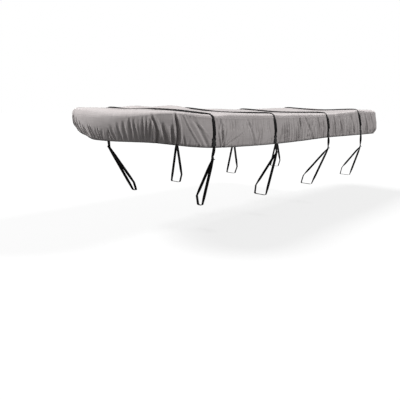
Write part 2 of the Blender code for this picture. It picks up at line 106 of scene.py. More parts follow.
def station(name, x):
    """One column of the table at x, on smooth curves through its rows."""
    column, ends = STATION_COLUMNS.index(name), STATIONS[:, 0]
    x = np.clip(x, ends[0], ends[-1])
    k = np.clip(np.searchsorted(ends, x) - 1, 0, len(ends) - 2)
    span = ends[k + 1] - ends[k]
    t = (x - ends[k]) / span
    low, high = STATIONS[k, column], STATIONS[k + 1, column]
    rise_low, rise_high = SLOPES[k, column] * span, SLOPES[k + 1, column] * span
    return ((2 * t**3 - 3 * t**2 + 1) * low + (t**3 - 2 * t**2 + t) * rise_low
            + (3 * t**2 - 2 * t**3) * high + (t**3 - t**2) * rise_high)


print("half width amidships:", float(station("half", 0.0)), "m")

# %% Length along a line
def lengths_along(line):
    """How far along a line each of its points is, 0 at its start."""
    return np.concatenate([[0.0], np.cumsum(np.linalg.norm(np.diff(line, axis=0), axis=1))])


print("round a square of 1 m:", lengths_along([(0, 0), (1, 0), (1, 1), (0, 1), (0, 0)])[-1], "m")

# %% The outline in plan
BOW_START, BOW_LENGTH, BOW_POWER = 2.45, 1.25, 2.15  # the bow is a superellipse of this power
STERN, STERN_CORNER = -3.86, 0.24
BOW_POINTS, SIDE_POINTS, CORNER_POINTS, STERN_POINTS = 240, 241, 40, 20
LOOK_ALONG = 5  # a direction is taken over so many points before and after
quarter = 0.5 * math.pi
turns = np.linspace(0.0, quarter, BOW_POINTS, endpoint=False)
bow_part = np.column_stack([
    BOW_START + BOW_LENGTH * np.cos(turns) ** (2.0 / BOW_POWER),
    station("half", BOW_START) * np.sin(turns) ** (2.0 / BOW_POWER),
])
side_x = np.linspace(BOW_START, STERN + STERN_CORNER, SIDE_POINTS)
side_part = np.column_stack([side_x, station("half", side_x)])
corner_y = side_part[-1, 1] - STERN_CORNER
turns = np.linspace(0.0, quarter, CORNER_POINTS + 1)[1:]
corner_part = np.column_stack([
    STERN + STERN_CORNER * (1.0 - np.sin(turns)), corner_y + STERN_CORNER * np.cos(turns)])
stern_y = corner_y * (1.0 - np.arange(1, STERN_POINTS + 1) / STERN_POINTS)
stern_part = np.column_stack([np.full(STERN_POINTS, STERN), stern_y])
OUTLINE = np.vstack([bow_part, side_part, corner_part, stern_part])
REACH = lengths_along(OUTLINE)
GIRTH = REACH[-1]
steps = np.arange(len(OUTLINE))
along = OUTLINE[np.minimum(steps + LOOK_ALONG, steps[-1])] - OUTLINE[np.maximum(steps - LOOK_ALONG, 0)]
OUTWARD = np.column_stack([along[:, 1], -along[:, 0]]) / np.linalg.norm(along, axis=1)[:, None]
OUTWARD[0], OUTWARD[-1] = (1.0, 0.0), (-1.0, 0.0)
print("round the port side:", round(GIRTH, 3), "m")


# %% Finding a place on the outline
def on_outline(g):
    """Place and outward direction on the port outline, at distance g from the bow's tip."""
    return [np.interp(g, REACH, values) for values in (*OUTLINE.T, *OUTWARD.T)]


def distance_at(x):
    """The distance along the outline at which it passes x, between the bow's tip and the stern's corner."""
    return float(np.interp(-x, -OUTLINE[:-STERN_POINTS, 0], REACH[:-STERN_POINTS]))


print("amidships is", round(distance_at(0.0), 2), "m from the bow's tip")

# %% [markdown]
# ## Straps and folds, as numbers
#
# The straps press the cloth flat, so their places are needed before its folds. On the real cover the folds
# come from cloth that is a little too long for the edge that it is drawn to. They could be modelled by
# sculpting, but numbers can be moved one by one until each fold sits where it does in the photograph. So
# each main fold is a row: a soft trough that starts at one place on the shoulder and ends at another at the
# hem, with a low ridge on either side. The small gathers that the elastic makes are too many to place by
# hand, so a seeded random draw spreads them over zones whose spacing and depth were read off.

# %% Places of the straps
# foot: where a loop's lower end lies, as x on either side and distance out, then its width and its base.
STRAP_COLUMNS = ("x", "skew", "foot_port", "foot_star", "foot_out", "foot_wide", "foot_base")
STRAPS = [dict(zip(STRAP_COLUMNS, row)) for row in (
    (2.482, 0.082, 2.319, 2.240, 0.800, 0.078, -1.293),
    (0.867, 0.000, 0.957, 1.100, 1.005, 0.210, -1.293),
    (-0.975, 0.000, -0.620, -0.620, 1.005, 0.210, -1.293),
    (-2.687, 0.000, -2.380, -2.380, 1.005, 0.210, -1.293),
)]
FOOT_HIGH = 0.133
STRAP_WIDTH, LOOP_WIDTH, WEBBING = 0.050, 0.050, 0.002
BAND = 0.043  # half the width of the plain strip under a strap
STRAP_AT = [distance_at(row["x"]) for row in STRAPS]
SKEW_SPREAD, SKEW_AT_HEM = 0.34, 0.1
print("straps at", [round(v, 2) for v in STRAP_AT], "m from the bow's tip")


# %% Soft steps and bells
def ease(value):
    """0 below 0, 1 above 1 and smooth between."""
    value = np.clip(value, 0.0, 1.0)
    return value * value * (3.0 - 2.0 * value)


def bell(value, centre, reach):
    """1 at the centre, falling softly to either side."""
    return np.exp(-(((value - centre) / reach) ** 2))


print("halfway up a soft step:", float(ease(0.5)))

# %% Main folds
# top, foot: distance from the bow's tip at the fold's upper and lower end. high, low: those ends' heights,
# from the hem at 0 to the shoulder at 1. wide, deep: half width, and depth, which is below 0 for a ridge.
# bend: how far it bows aft midway.
MAIN_FOLDS = (
    (0.12, 0.10, 0.50, 0.00, 0.020, 0.006, 0.00), (0.23, 0.18, 0.45, 0.00, 0.020, 0.005, 0.00),
    (0.33, 0.29, 0.42, 0.00, 0.018, 0.006, 0.00), (0.39, 0.42, 0.60, 0.00, 0.020, 0.008, 0.00),
    (0.485, 0.515, 0.70, 0.00, 0.018, 0.011, 0.00), (0.565, 0.585, 0.75, 0.00, 0.017, 0.013, 0.00),
    (0.645, 0.650, 0.85, 0.00, 0.018, 0.017, 0.01), (0.695, 0.735, 0.80, 0.00, 0.018, 0.015, 0.00),
    (0.805, 0.812, 0.85, 0.00, 0.015, 0.016, 0.00), (0.850, 0.858, 0.85, 0.05, 0.013, 0.013, 0.00),
    (0.910, 0.885, 0.85, 0.00, 0.014, 0.015, 0.00), (0.930, 0.985, 0.90, 0.00, 0.019, 0.048, 0.03),
    (1.055, 1.130, 0.60, 0.00, 0.024, 0.032, 0.00), (1.175, 1.202, 0.55, 0.00, 0.024, 0.036, 0.00),
    (1.225, 1.253, 0.95, 0.00, 0.019, 0.066, 0.012), (1.326, 1.605, 1.05, 0.00, 0.013, -0.012, -0.03),
    (1.400, 1.820, 1.05, 0.20, 0.013, -0.011, 0.00), (1.48, 1.70, 0.90, 0.10, 0.030, 0.014, 0.00),
    (1.98, 2.04, 0.95, 0.00, 0.024, 0.018, 0.00), (2.50, 2.06, 0.46, 0.02, 0.022, 0.026, 0.00),
    (2.66, 2.86, 0.90, 0.00, 0.026, 0.014, 0.00), (3.04, 2.99, 0.60, 0.00, 0.026, 0.016, 0.00),
    (3.66, 3.56, 0.60, 0.00, 0.026, 0.018, 0.00), (4.24, 4.22, 1.00, 0.00, 0.030, 0.020, 0.03),
    (4.46, 4.70, 0.95, 0.00, 0.030, 0.018, 0.00), (4.90, 4.94, 0.95, 0.00, 0.030, 0.024, 0.03),
    (5.62, 5.58, 1.00, 0.00, 0.032, 0.026, 0.00), (5.88, 5.97, 1.00, 0.00, 0.030, 0.022, 0.00),
    (6.54, 6.62, 0.95, 0.00, 0.030, 0.024, 0.02), (7.36, 7.42, 0.95, 0.00, 0.032, 0.024, 0.00),
    (7.66, 7.84, 1.00, 0.00, 0.034, 0.019, 0.00), (8.30, 8.32, 0.90, 0.00, 0.034, 0.016, 0.00),
)
print("main folds:", len(MAIN_FOLDS))

# %% Narrow folds between them, and the far side's own pleats
FINE_FOLDS = (
    (0.02, 0.03, 0.60, 0.00, 0.012, 0.012, 0.00), (0.16, 0.14, 0.50, 0.00, 0.012, 0.012, 0.00),
    (0.34, 0.36, 0.45, 0.00, 0.012, 0.012, 0.00), (1.33, 1.36, 0.30, 0.00, 0.012, 0.012, 0.00),
    (1.90, 1.98, 0.60, 0.00, 0.013, 0.016, 0.00), (2.02, 2.02, 0.80, 0.00, 0.012, 0.014, 0.00),
    (2.11, 2.04, 0.60, 0.02, 0.012, 0.016, 0.00), (2.24, 2.05, 0.42, 0.02, 0.012, 0.016, 0.00),
    (2.34, 2.07, 0.36, 0.02, 0.011, 0.014, 0.00), (2.98, 2.90, 0.60, 0.05, 0.013, 0.012, 0.00),
    (2.74, 2.84, 0.40, 0.05, 0.013, 0.012, 0.00), (3.86, 3.68, 0.65, 0.05, 0.014, 0.014, 0.00),
    (4.60, 4.44, 0.50, 0.05, 0.016, 0.014, 0.00),
)
FAR_BOW_PLEATS = (
    (0.410, 0.560, 1.00, 0.00, 0.026, 0.050, 0.00), (0.310, 0.340, 0.85, 0.00, 0.014, 0.018, 0.00),
    (0.225, 0.245, 0.75, 0.00, 0.012, 0.012, 0.00), (0.150, 0.175, 0.60, 0.00, 0.012, 0.009, 0.00),
)
print("fine folds:", len(FINE_FOLDS), "and pleats on the far side:", len(FAR_BOW_PLEATS))

# %% Small gathers, drawn at random with fixed seeds
# start, end, spacing, lowest, highest, half width, depth, lean
GATHER_ZONES = (
    (0.04, 0.45, 0.036, 0.00, 0.20, 0.010, 0.0040, 0.01),
    (0.45, 1.28, 0.036, 0.00, 0.24, 0.010, 0.0065, 0.01),
    (1.32, 1.80, 0.060, 0.00, 0.20, 0.011, 0.0060, 0.02),
    (1.90, 2.80, 0.062, 0.62, 0.97, 0.013, 0.0120, 0.03),
    (2.80, 3.38, 0.085, 0.50, 1.05, 0.014, 0.0060, 0.00),
    (2.20, 3.10, 0.070, 0.00, 0.26, 0.013, 0.0080, 0.04),
    (3.08, 3.37, 0.042, 0.00, 0.26, 0.011, 0.0120, 0.09),
    (3.47, 4.00, 0.046, 0.00, 0.46, 0.012, 0.0120, 0.13),
    (3.70, 7.40, 0.070, 0.02, 1.05, 0.018, 0.0145, 0.02),
    (7.40, 8.95, 0.075, 0.02, 1.00, 0.020, 0.0090, -0.05),
    (4.00, 8.95, 0.052, 0.00, 0.30, 0.014, 0.0110, 0.02),
    (4.20, 8.95, 0.110, 0.55, 1.02, 0.015, 0.0100, 0.02),
)
TOP_SCATTER, BEND_SCATTER = 0.012, 0.014
PORT_SEED, STARBOARD_SEED = 11, 23


def draw_gathers(seed):
    """Rows for gathers in all the zones, in the same columns as the main folds."""
    draw = np.random.default_rng(seed)
    rows = []
    # each gather strays from its zone's own values by a share between the two numbers of a draw
    for start, end, spacing, low, high, wide, deep, lean in GATHER_ZONES:
        for k in range(int((end - start) / spacing)):
            foot = start + spacing * (k + draw.uniform(0.1, 0.9))
            highest = low + (high - low) * draw.uniform(0.55, 1.0)
            top = foot + lean * draw.uniform(0.2, 1.6) + draw.normal(0.0, TOP_SCATTER)
            half_wide, depth = wide * draw.uniform(0.8, 1.3), deep * draw.uniform(0.35, 1.25)
            rows.append((top, foot, highest, low, half_wide, depth, draw.normal(0.0, BEND_SCATTER)))
    return rows


FOLDS = {
    1: [*MAIN_FOLDS, *FINE_FOLDS, *draw_gathers(PORT_SEED)],
    -1: [*MAIN_FOLDS, *FINE_FOLDS, *FAR_BOW_PLEATS, *draw_gathers(STARBOARD_SEED)],
}
print("folds and gathers: port", len(FOLDS[1]), "starboard", len(FOLDS[-1]))

# %% [markdown]
# ## The surface of the cover
#
# One function answers where any point of the cloth is. Its first value runs round the outline, its second
# up from the hem to the centreline: 0 to 1 is the side, 1 to 2 the rounded shoulder and 2 to 3 the top. The
# sheet, the hem, its stitches and the straps all ask this function, so they can't drift apart. A cloth
# simulation would fold by itself, but it doesn't put a fold where the photograph has one.

# %% How deep the cloth is folded
FADE_LOW, FADE_HIGH = 0.25, 0.45  # a fold fades over these shares of its length at its lower and upper end
RIDGE, RIDGE_AT, RIDGE_SPREAD = 0.35, 1.7, 0.6  # a ridge's height to its trough's depth, its place and width
TROUGH_POWER = 1.6
HEM_FOLD, HEM_FOLD_TO = 0.45, 0.12  # what the elastic hem keeps of a fold, and the height where it is whole
STRAP_PRESS = 0.07


def fold_depth(side, g, height):
    """How far the folds move the cloth in at distance g and height 0 to 1. Straps press it flat."""
    depth = np.zeros(np.broadcast(g, height).shape)
    for top, foot, high, low, wide, deep, bend in FOLDS[side]:
        t = (height - low) / (high - low)
        line = foot + (top - foot) * t + bend * np.sin(math.pi * np.clip(t, 0.0, 1.0))
        across = np.abs(g - line) / wide
        fade = ease((t + FADE_LOW) / FADE_LOW) * ease((1.0 + FADE_LOW - t) / FADE_HIGH)
        ridges = np.exp(-((across - RIDGE_AT) ** 2) / RIDGE_SPREAD)
        depth += deep * fade * (np.exp(-across**TROUGH_POWER) - RIDGE * ridges)
    for centre in STRAP_AT:
        depth *= ease((np.abs(g - centre) - BAND) / STRAP_PRESS)
    return depth * (HEM_FOLD + (1.0 - HEM_FOLD) * ease(height / HEM_FOLD_TO))


print("depth of the deepest fold:", round(float(fold_depth(1, 1.25, 0.4)), 3), "m")

# %% How high the top cloth lies
# x, y, height and reach; two are below 0, where the top sags between the straps
HUMPS = ((2.22, -0.72, 0.055, 0.26), (1.62, -0.50, 0.070, 0.30),
         (0.20, -0.10, -0.014, 0.60), (-1.80, 0.05, -0.020, 0.50))
# where the first strap pulls the cloth down with it: x, y, reach along x and y, depth
SAGS = ((2.62, -0.62, 0.62, 0.34, 0.024), (2.48, 1.02, 0.26, 0.42, 0.022))
# how far past a strap's strip the cloth lies flat, and over what it then rises
FLAT_BESIDE, RISE_BESIDE = 0.01, 0.16
# long soft ripples: spread of their wave numbers in x and y, highest phase, least and greatest height
RIPPLE_COUNT, RIPPLE_SEED = 14, 5
WAVES_X, WAVES_Y, PHASE, LOW_RISE, HIGH_RISE = 9.0, 7.0, 6.28, 0.0006, 0.0018
draw = np.random.default_rng(RIPPLE_SEED)
RIPPLES = [(draw.normal(0, WAVES_X), draw.normal(0, WAVES_Y), draw.uniform(0, PHASE),
            draw.uniform(LOW_RISE, HIGH_RISE)) for _ in range(RIPPLE_COUNT)]


def mound(x, y, at_x, at_y, reach_x, reach_y):
    """A round bell in plan, 1 at its top."""
    return np.exp(-(((x - at_x) / reach_x) ** 2 + ((y - at_y) / reach_y) ** 2))


def top_height(x, y, edge):
    """Height of the top cloth at x and y, where edge is the height of the edge on that side."""
    half, mid = station("half", x), station("mid", x)
    height = mid + (edge - mid) * ease(np.abs(y) / half)
    lift = sum(rise * mound(x, y, at_x, at_y, reach, reach) for at_x, at_y, rise, reach in HUMPS)
    lift = lift + sum(rise * np.sin(kx * x + ky * y + phase) for kx, ky, phase, rise in RIPPLES)
    for row in STRAPS:
        strap_x = row["x"] + row["skew"] * np.clip(-y / half, 0.0, 1.0)
        lift = lift * ease((np.abs(x - strap_x) - BAND - FLAT_BESIDE) / RISE_BESIDE)
    for at_x, at_y, reach_x, reach_y, deep in SAGS:
        lift = lift - deep * mound(x, y, at_x, at_y, reach_x, reach_y)
    return height + lift


print("top of the higher hump:", round(float(top_height(1.62, -0.50, 0.055)), 3), "m")

# %% The lines that run up the cover
BOW_FAN, BOW_FAN_TIP, STERN_FAN, STERN_FAN_TIP = 2.62, 3.05, -3.05, -3.45
FAN_FROM, FAN_TO = distance_at(BOW_FAN), distance_at(STERN_FAN)


def spine_x(g):
    """Where on the centreline the line from distance g ends. At bow and stern the lines fan out."""
    x = on_outline(g)[0]
    x = np.where(g < FAN_FROM, BOW_FAN_TIP + (BOW_FAN - BOW_FAN_TIP) * g / FAN_FROM, x)
    return np.where(g > FAN_TO, STERN_FAN + (STERN_FAN_TIP - STERN_FAN) * (g - FAN_TO) / (GIRTH - FAN_TO), x)


def carried(side, g, height):
    """The distance at which a line stands: to starboard a strap laid askew carries it forward."""
    shift = np.zeros(g.shape)
    if side < 0:
        for strap, centre in zip(STRAPS, STRAP_AT):
            shift = shift + strap["skew"] * bell(g, centre, SKEW_SPREAD)
    return g - shift * (SKEW_AT_HEM + (1.0 - SKEW_AT_HEM) * height)


print("lines fan out before", round(FAN_FROM, 2), "m and after", round(FAN_TO, 2), "m")

# %% How far out the side cloth stands
BELLY, FLARE_POWER = 0.018, 1.2
HEM_TUCK, TUCK_TO = 0.012, 0.07  # the elastic draws the hem in, up to this height
CORNER_AT, CORNER_REACH, CORNER_FULL, CORNER_SOFT = 8.0, 0.45, 0.045, 0.25  # the stern's corner is fuller
SEAM_ROW, SEAM_WIDE, SEAM_RAISE, SEAM_FROM, SEAM_SOFT = 0.985, 0.022, 0.004, 1.3, 0.3


def stand_off(side, g, x, row, height, turn):
    """How far the side stands out from the outline."""
    fall = 1.0 - height
    offset = station("flare", x) * fall**FLARE_POWER + BELLY * np.sin(math.pi * fall)
    corner = CORNER_FULL * bell(g, CORNER_AT, CORNER_REACH)
    offset = offset + corner * ease(height / CORNER_SOFT) * np.cos(turn)
    offset = offset + SEAM_RAISE * bell(row, SEAM_ROW, SEAM_WIDE) * ease((g - SEAM_FROM) / SEAM_SOFT)
    offset = offset - fold_depth(side, g, height) * (1.0 - turn / quarter)
    return offset - HEM_TUCK * ease(1.0 - height / TUCK_TO)


print("fullness at the stern's corner:", CORNER_FULL, "m")

# %% Where a point of the cloth is
# On the near side the bow's shoulder is a wider curve, and on the far side the bow's hem is lifted.
BOW_SLOPE_AT, BOW_SLOPE_REACH, BOW_SLOPE_IN = 0.30, 0.42, 0.035
LIFT_AT, LIFT_REACH, LIFT_HIGH, LIFT_SOFT = 0.60, 0.45, 0.065, 0.30


def cover_at(side, g, row):
    """Points of the cloth's outer face, at distance g round the outline and row 0 to 3 up the profile."""
    g, row = np.broadcast_arrays(np.asarray(g, float), np.asarray(row, float))
    height, share = np.clip(row, 0.0, 1.0), np.clip(row - 2.0, 0.0, 1.0)
    turn = quarter * np.clip(row - 1.0, 0.0, 1.0)
    here = carried(side, g, height)
    x, y, out_x, out_y = on_outline(here)
    edge, hem = station("port" if side > 0 else "star", x), station("hem", x)
    if side < 0:
        hem = hem + LIFT_HIGH * bell(here, LIFT_AT, LIFT_REACH) * ease(here / LIFT_SOFT)
    bend = station("round", x)
    bend_in = bend + BOW_SLOPE_IN * bell(side * here, BOW_SLOPE_AT, BOW_SLOPE_REACH)
    offset = stand_off(side, g, x, row, height, turn) - bend_in * (1.0 - np.cos(turn))
    at_x, at_y = x + out_x * offset, y + out_y * offset
    at_x, at_y = at_x + (spine_x(g) - at_x) * share, at_y * (1.0 - share) * side
    side_z = hem + (edge - bend - hem) * height + bend * np.sin(turn)
    at_z = side_z + (top_height(at_x, at_y, edge) - edge) * np.sin(turn)
    return np.stack([at_x, at_y, at_z], axis=-1)


print("hem amidships at", cover_at(1, 3.9, 0.0).round(3))

# %% [markdown]
# ## Colour and materials
#
# Colours are written as sRGB hex values, as a colour picker gives them, and one function turns them to the
# linear values that Blender's sockets want. One more function adds a node, whatever its kind. A picture
# could give each finish, but patterns worked out by nodes stay sharp at any distance and need no file.

# %% Helpers for materials
def linear(code):
    """An sRGB hex colour as linear RGBA."""
    parts = [int(code[k:k + 2], 16) / 255.0 for k in (1, 3, 5)]
    return (*[p / 12.92 if p <= 0.04045 else ((p + 0.055) / 1.055) ** 2.4 for p in parts], 1.0)


def add_node(tree, kind, sockets=(), **settings):
    """Add one node. sockets pairs an input's name or number with a value or with the output that feeds it."""
    node = tree.nodes.new(kind)
    for name, value in settings.items():
        setattr(node, name, value)
    for name, value in sockets:
        if isinstance(value, bpy.types.NodeSocket):
            tree.links.new(value, node.inputs[name])
        else:
            node.inputs[name].default_value = value
    return node


def start_material(name, **shader_values):
    """A new material with its shader set; returns it with its node tree and its shader."""
    made = bpy.data.materials.new(name)
    made.use_nodes = True
    shader = made.node_tree.nodes["Principled BSDF"]
    for socket, value in shader_values.items():
        shader.inputs[socket.replace("_", " ")].default_value = value
    return made, made.node_tree, shader


print("mid grey #808080 is", round(linear("#808080")[0], 3), "in linear light")

# %% [markdown]
# ### Canvas
#
# The cover is a solution-dyed polyester canvas, a plain weave of 600 denier yarn with about 0.6 mm from
# thread to thread. Its matt, slightly hairy face turns pale where it is seen at a low angle, so it has
# sheen. Two Wave textures could draw the yarns, but a pixel of the render is 15 mm or more of cloth, so
# they would blur to nothing. The weave is drawn coarser, as slubs 8 mm wide: the places where a yarn runs
# thick for a while, made by noise stretched along the warp and along the weft.

# %% Canvas: the weave
THREAD_MM, SLUB_LENGTH_MM = 8.0, 260.0
canvas, tree, shader = start_material(
    "polyester_canvas", Roughness=0.88, IOR=1.5, Specular_IOR_Level=0.25,
    Sheen_Weight=0.55, Sheen_Roughness=0.42, Sheen_Tint=linear("#e9e4e3"))
cloth_uv = add_node(tree, "ShaderNodeUVMap", uv_map="cloth").outputs["UV"]
lengthwise, crosswise = 1000.0 / SLUB_LENGTH_MM, 1000.0 / THREAD_MM
slubs = []
for scale in ((lengthwise, crosswise, 1.0), (crosswise, lengthwise, 1.0)):
    stretched = add_node(tree, "ShaderNodeMapping", [("Vector", cloth_uv), ("Scale", scale)])
    noise = add_node(tree, "ShaderNodeTexNoise", [
        ("Vector", stretched.outputs[0]), ("Scale", 1.0), ("Detail", 2.0), ("Roughness", 0.6)])
    slubs.append(noise.outputs["Fac"])
weave = add_node(tree, "ShaderNodeMix", [("Factor", 0.45), (2, slubs[0]), (3, slubs[1])]).outputs[0]
yarn = add_node(tree, "ShaderNodeValToRGB", [("Fac", weave)])
ends = yarn.color_ramp.elements
ends[0].position, ends[1].position = 0.28, 0.72
ends[0].color, ends[1].color = linear("#908b8b"), linear("#aaa5a4")
print("canvas: slubs", THREAD_MM, "mm wide")

# %% [markdown]
# Woven cloth also fades and creases unevenly. Painting that by hand would show best, but two larger noises,
# one for the colour and one for the relief, do the same on all of the cloth and leave no seam.

# %% Canvas: fading and creases
FADES_PER_M, CREASES_PER_M = 2.6, 14.0  # patches about 385 mm wide and creases about 71 mm apart
fading = add_node(tree, "ShaderNodeTexNoise", [
    ("Vector", cloth_uv), ("Scale", FADES_PER_M), ("Detail", 3.0), ("Roughness", 0.55)]).outputs["Fac"]
shade = add_node(tree, "ShaderNodeValToRGB", [("Fac", fading)])
ends = shade.color_ramp.elements
ends[0].position, ends[1].position = 0.32, 0.68
ends[0].color, ends[1].color = linear("#cfcaca"), linear("#ffffff")
worn = add_node(tree, "ShaderNodeMix", [
    ("Factor", 0.35), (6, yarn.outputs["Color"]), (7, shade.outputs["Color"])],
    data_type="RGBA", blend_type="MULTIPLY")
tree.links.new(worn.outputs[2], shader.inputs["Base Color"])
crumple = add_node(tree, "ShaderNodeTexNoise", [
    ("Vector", cloth_uv), ("Scale", CREASES_PER_M), ("Detail", 3.0), ("Roughness", 0.5),
    ("Distortion", 0.6)]).outputs["Fac"]
creased = add_node(tree, "ShaderNodeBump", [("Strength", 0.5), ("Distance", 0.006), ("Height", crumple)])
woven = add_node(tree, "ShaderNodeBump", [
    ("Strength", 0.5), ("Distance", 0.0012), ("Height", weave), ("Normal", creased.outputs[0])])
tree.links.new(woven.outputs[0], shader.inputs["Normal"])
print("canvas:", len(tree.nodes), "nodes")

# %% [markdown]
# ### Webbing
#
# The straps are polypropylene webbing, flat woven and dyed black all through, with a faint shine on its
# yarns. Its ribs run across at about 2 mm and its cords along. Noise could roughen it, but the ribs are
# regular, so two Wave textures are multiplied. They are drawn at 6 mm and 5 mm, so that they show in a
# close view.

# %% Webbing
RIB_MM, CORD_MM = 6.0, 5.0
WAVE = 314.0  # a Wave texture whose scale is this over a length in mm repeats at that length
webbing, tree, shader = start_material(
    "polypropylene_webbing", Roughness=0.62, IOR=1.49, Specular_IOR_Level=0.12,
    Sheen_Weight=0.02, Sheen_Roughness=0.4, Sheen_Tint=linear("#8b8989"))
strap_uv = add_node(tree, "ShaderNodeUVMap", uv_map="cloth").outputs["UV"]
ribs, cords = (
    add_node(tree, "ShaderNodeTexWave", [("Vector", strap_uv), ("Scale", WAVE / length)], bands_direction=way)
    for length, way in ((RIB_MM, "Y"), (CORD_MM, "X")))
crossed = add_node(tree, "ShaderNodeMath", [
    (0, ribs.outputs["Fac"]), (1, cords.outputs["Fac"])], operation="MULTIPLY").outputs[0]
tone = add_node(tree, "ShaderNodeValToRGB", [("Fac", crossed)])
ends = tone.color_ramp.elements
ends[0].color, ends[1].color = linear("#0b0a0b"), linear("#191718")
tree.links.new(tone.outputs["Color"], shader.inputs["Base Color"])
relief = add_node(tree, "ShaderNodeBump", [("Strength", 0.6), ("Distance", 0.0006), ("Height", crossed)])
tree.links.new(relief.outputs[0], shader.inputs["Normal"])
print("webbing: ribs", RIB_MM, "mm apart")

# %% [markdown]
# ### Moulded acetal
#
# Buckles and adjusters are injection moulded in black acetal. The mould was spark-eroded to a fine grain,
# so the surface is satin, and hands rub some patches smoother. A single roughness could do from afar, but
# it looks like paint up close, so one noise gives the grain as relief and another varies the roughness. The
# grain is drawn at 1.2 mm, coarser than real.

# %% Acetal
GRAIN_MM = 1.2
RUBBED_PER_M, RUBBED, UNRUBBED = 30.0, 0.34, 0.56
acetal, tree, shader = start_material("black_acetal", IOR=1.48, Base_Color=linear("#1b1a1b"))
place = add_node(tree, "ShaderNodeTexCoord").outputs["Object"]
grain, rubbed = (
    add_node(tree, "ShaderNodeTexNoise", [("Vector", place), ("Scale", scale), ("Detail", 2.0)])
    for scale in (1000.0 / GRAIN_MM, RUBBED_PER_M))
satin = add_node(tree, "ShaderNodeMapRange", [("Value", rubbed.outputs["Fac"]), (3, RUBBED), (4, UNRUBBED)])
tree.links.new(satin.outputs[0], shader.inputs["Roughness"])
pitted = add_node(tree, "ShaderNodeBump", [
    ("Strength", 0.3), ("Distance", 0.0003), ("Height", grain.outputs["Fac"])])
tree.links.new(pitted.outputs[0], shader.inputs["Normal"])
print("acetal: grain", GRAIN_MM, "mm")

# %% [markdown]
# ### Binding tape and thread
#
# The hem is bound with woven polyester tape, puckered by the elastic inside it, and sewn with bonded
# polyester thread a shade darker than the canvas. The tape's dark grey is partly its own colour and partly
# painted shadow, the shade that falls just under the hem. Puckers could be modelled, but they are 14 mm
# apart, less than a pixel, so a wavy texture paints their light and dark into the tape's colour as painted
# shade. The thread's twist is a fine noise.

# %% Binding tape, with painted shade and painted shadow
PUCKER_MM = 14.0
tape_and_shadow, tree, shader = start_material(
    "hem_tape_painted_shadow", Roughness=0.8, Sheen_Weight=0.15, Sheen_Tint=linear("#8a8586"))
tape_uv = add_node(tree, "ShaderNodeUVMap", uv_map="cloth").outputs["UV"]
puckers_and_their_shade = add_node(tree, "ShaderNodeTexWave", [
    ("Vector", tape_uv), ("Scale", WAVE / PUCKER_MM), ("Distortion", 3.0), ("Detail", 2.0)],
    bands_direction="X").outputs["Fac"]
# painted shade: the ramp puts the puckers' light and dark into the tape's colour, on a dark grey that is
# partly painted shadow under the hem
tone = add_node(tree, "ShaderNodeValToRGB", [("Fac", puckers_and_their_shade)])
ends = tone.color_ramp.elements
ends[0].color, ends[1].color = linear("#2b292a"), linear("#4a4748")
tree.links.new(tone.outputs["Color"], shader.inputs["Base Color"])
relief = add_node(tree, "ShaderNodeBump", [("Strength", 0.7), ("Distance", 0.002), ("Height", puckers_and_their_shade)])
tree.links.new(relief.outputs[0], shader.inputs["Normal"])
print("tape: puckers", PUCKER_MM, "mm apart")

# %% Thread
PLIES_PER_M = 900.0
thread, tree, shader = start_material("polyester_thread", Roughness=0.6)
place = add_node(tree, "ShaderNodeTexCoord").outputs["Object"]
plies = add_node(tree, "ShaderNodeTexNoise", [("Vector", place), ("Scale", PLIES_PER_M)])
tone = add_node(tree, "ShaderNodeValToRGB", [("Fac", plies.outputs["Fac"])])
ends = tone.color_ramp.elements
ends[0].color, ends[1].color = linear("#5b5758"), linear("#7d7879")
tree.links.new(tone.outputs["Color"], shader.inputs["Base Color"])
print("finishes:", [finish.name for finish in (canvas, webbing, acetal, tape_and_shadow, thread)])

# %% [markdown]
# ## The cover's sheet
#
# The sheet is a fine grid over the surface function. Its columns stand closest at the bow, where the folds
# are narrowest, and its rows on the side. It is a single layer: half a millimetre of canvas has no
# thickness to see, and the faces that a Solidify modifier would spend on its back go into the folds. A UV
# map in metres of cloth lets the weave follow the threads round every fold.

# %% Helpers that make and file a piece
def make_object(name, points, faces, finish, uv=None, smooth=True):
    """A mesh object from points and faces; uv has one pair per corner of every face, in metres of cloth."""
    data = bpy.data.meshes.new(name)
    data.from_pydata([tuple(p) for p in points], [], [tuple(int(v) for v in f) for f in faces])
    if uv is not None:
        data.uv_layers.new(name="cloth").data.foreach_set("uv", np.asarray(uv, np.float32).ravel())
    data.polygons.foreach_set("use_smooth", [smooth] * len(data.polygons))
    data.materials.append(finish)
    made = bpy.data.objects.new(name, data)
    bpy.context.scene.collection.objects.link(made)
    return made


def file_piece(piece, slot, *nodes):
    """The piece rides on the part's one body, and the CAD nodes that it stands for are hidden. slot is not
    used.
    """
    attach(piece, "root")
    if nodes:
        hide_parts(*nodes)
    return piece


print("pieces can stand for", len(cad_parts), "CAD nodes")

# %% The sheet's points
# columns: from, to and how many, in distance round the outline. Rows: heights in the profile, or how many.
COLUMN_RUNS, LAST_COLUMNS = ((0.0, 1.34, 290), (1.34, 4.0, 290), (4.0, 8.1, 370)), 50
HEM_ROWS, SEAM_ROWS = (0.0, 0.012, 0.028, 0.05, 0.075), (0.985, 1.0, 1.02)
SIDE_LOW, SIDE_HIGH, SIDE_ROWS, SHOULDER_ROWS, TOP_ROWS = 0.105, 0.965, 21, 8, 12
column_g = np.concatenate([
    *(np.linspace(start, end, count, endpoint=False) for start, end, count in COLUMN_RUNS),
    np.linspace(COLUMN_RUNS[-1][1], GIRTH, LAST_COLUMNS)])
profile = np.concatenate([
    HEM_ROWS, np.linspace(SIDE_LOW, SIDE_HIGH, SIDE_ROWS), SEAM_ROWS,
    1.0 + np.linspace(0.0, 1.0, SHOULDER_ROWS)[1:], 2.0 + np.linspace(0.0, 1.0, TOP_ROWS)[1:]])
rows, width = len(profile), len(column_g)
port = cover_at(1, column_g[None, :], profile[:, None])
star = cover_at(-1, column_g[None, :], profile[:, None])
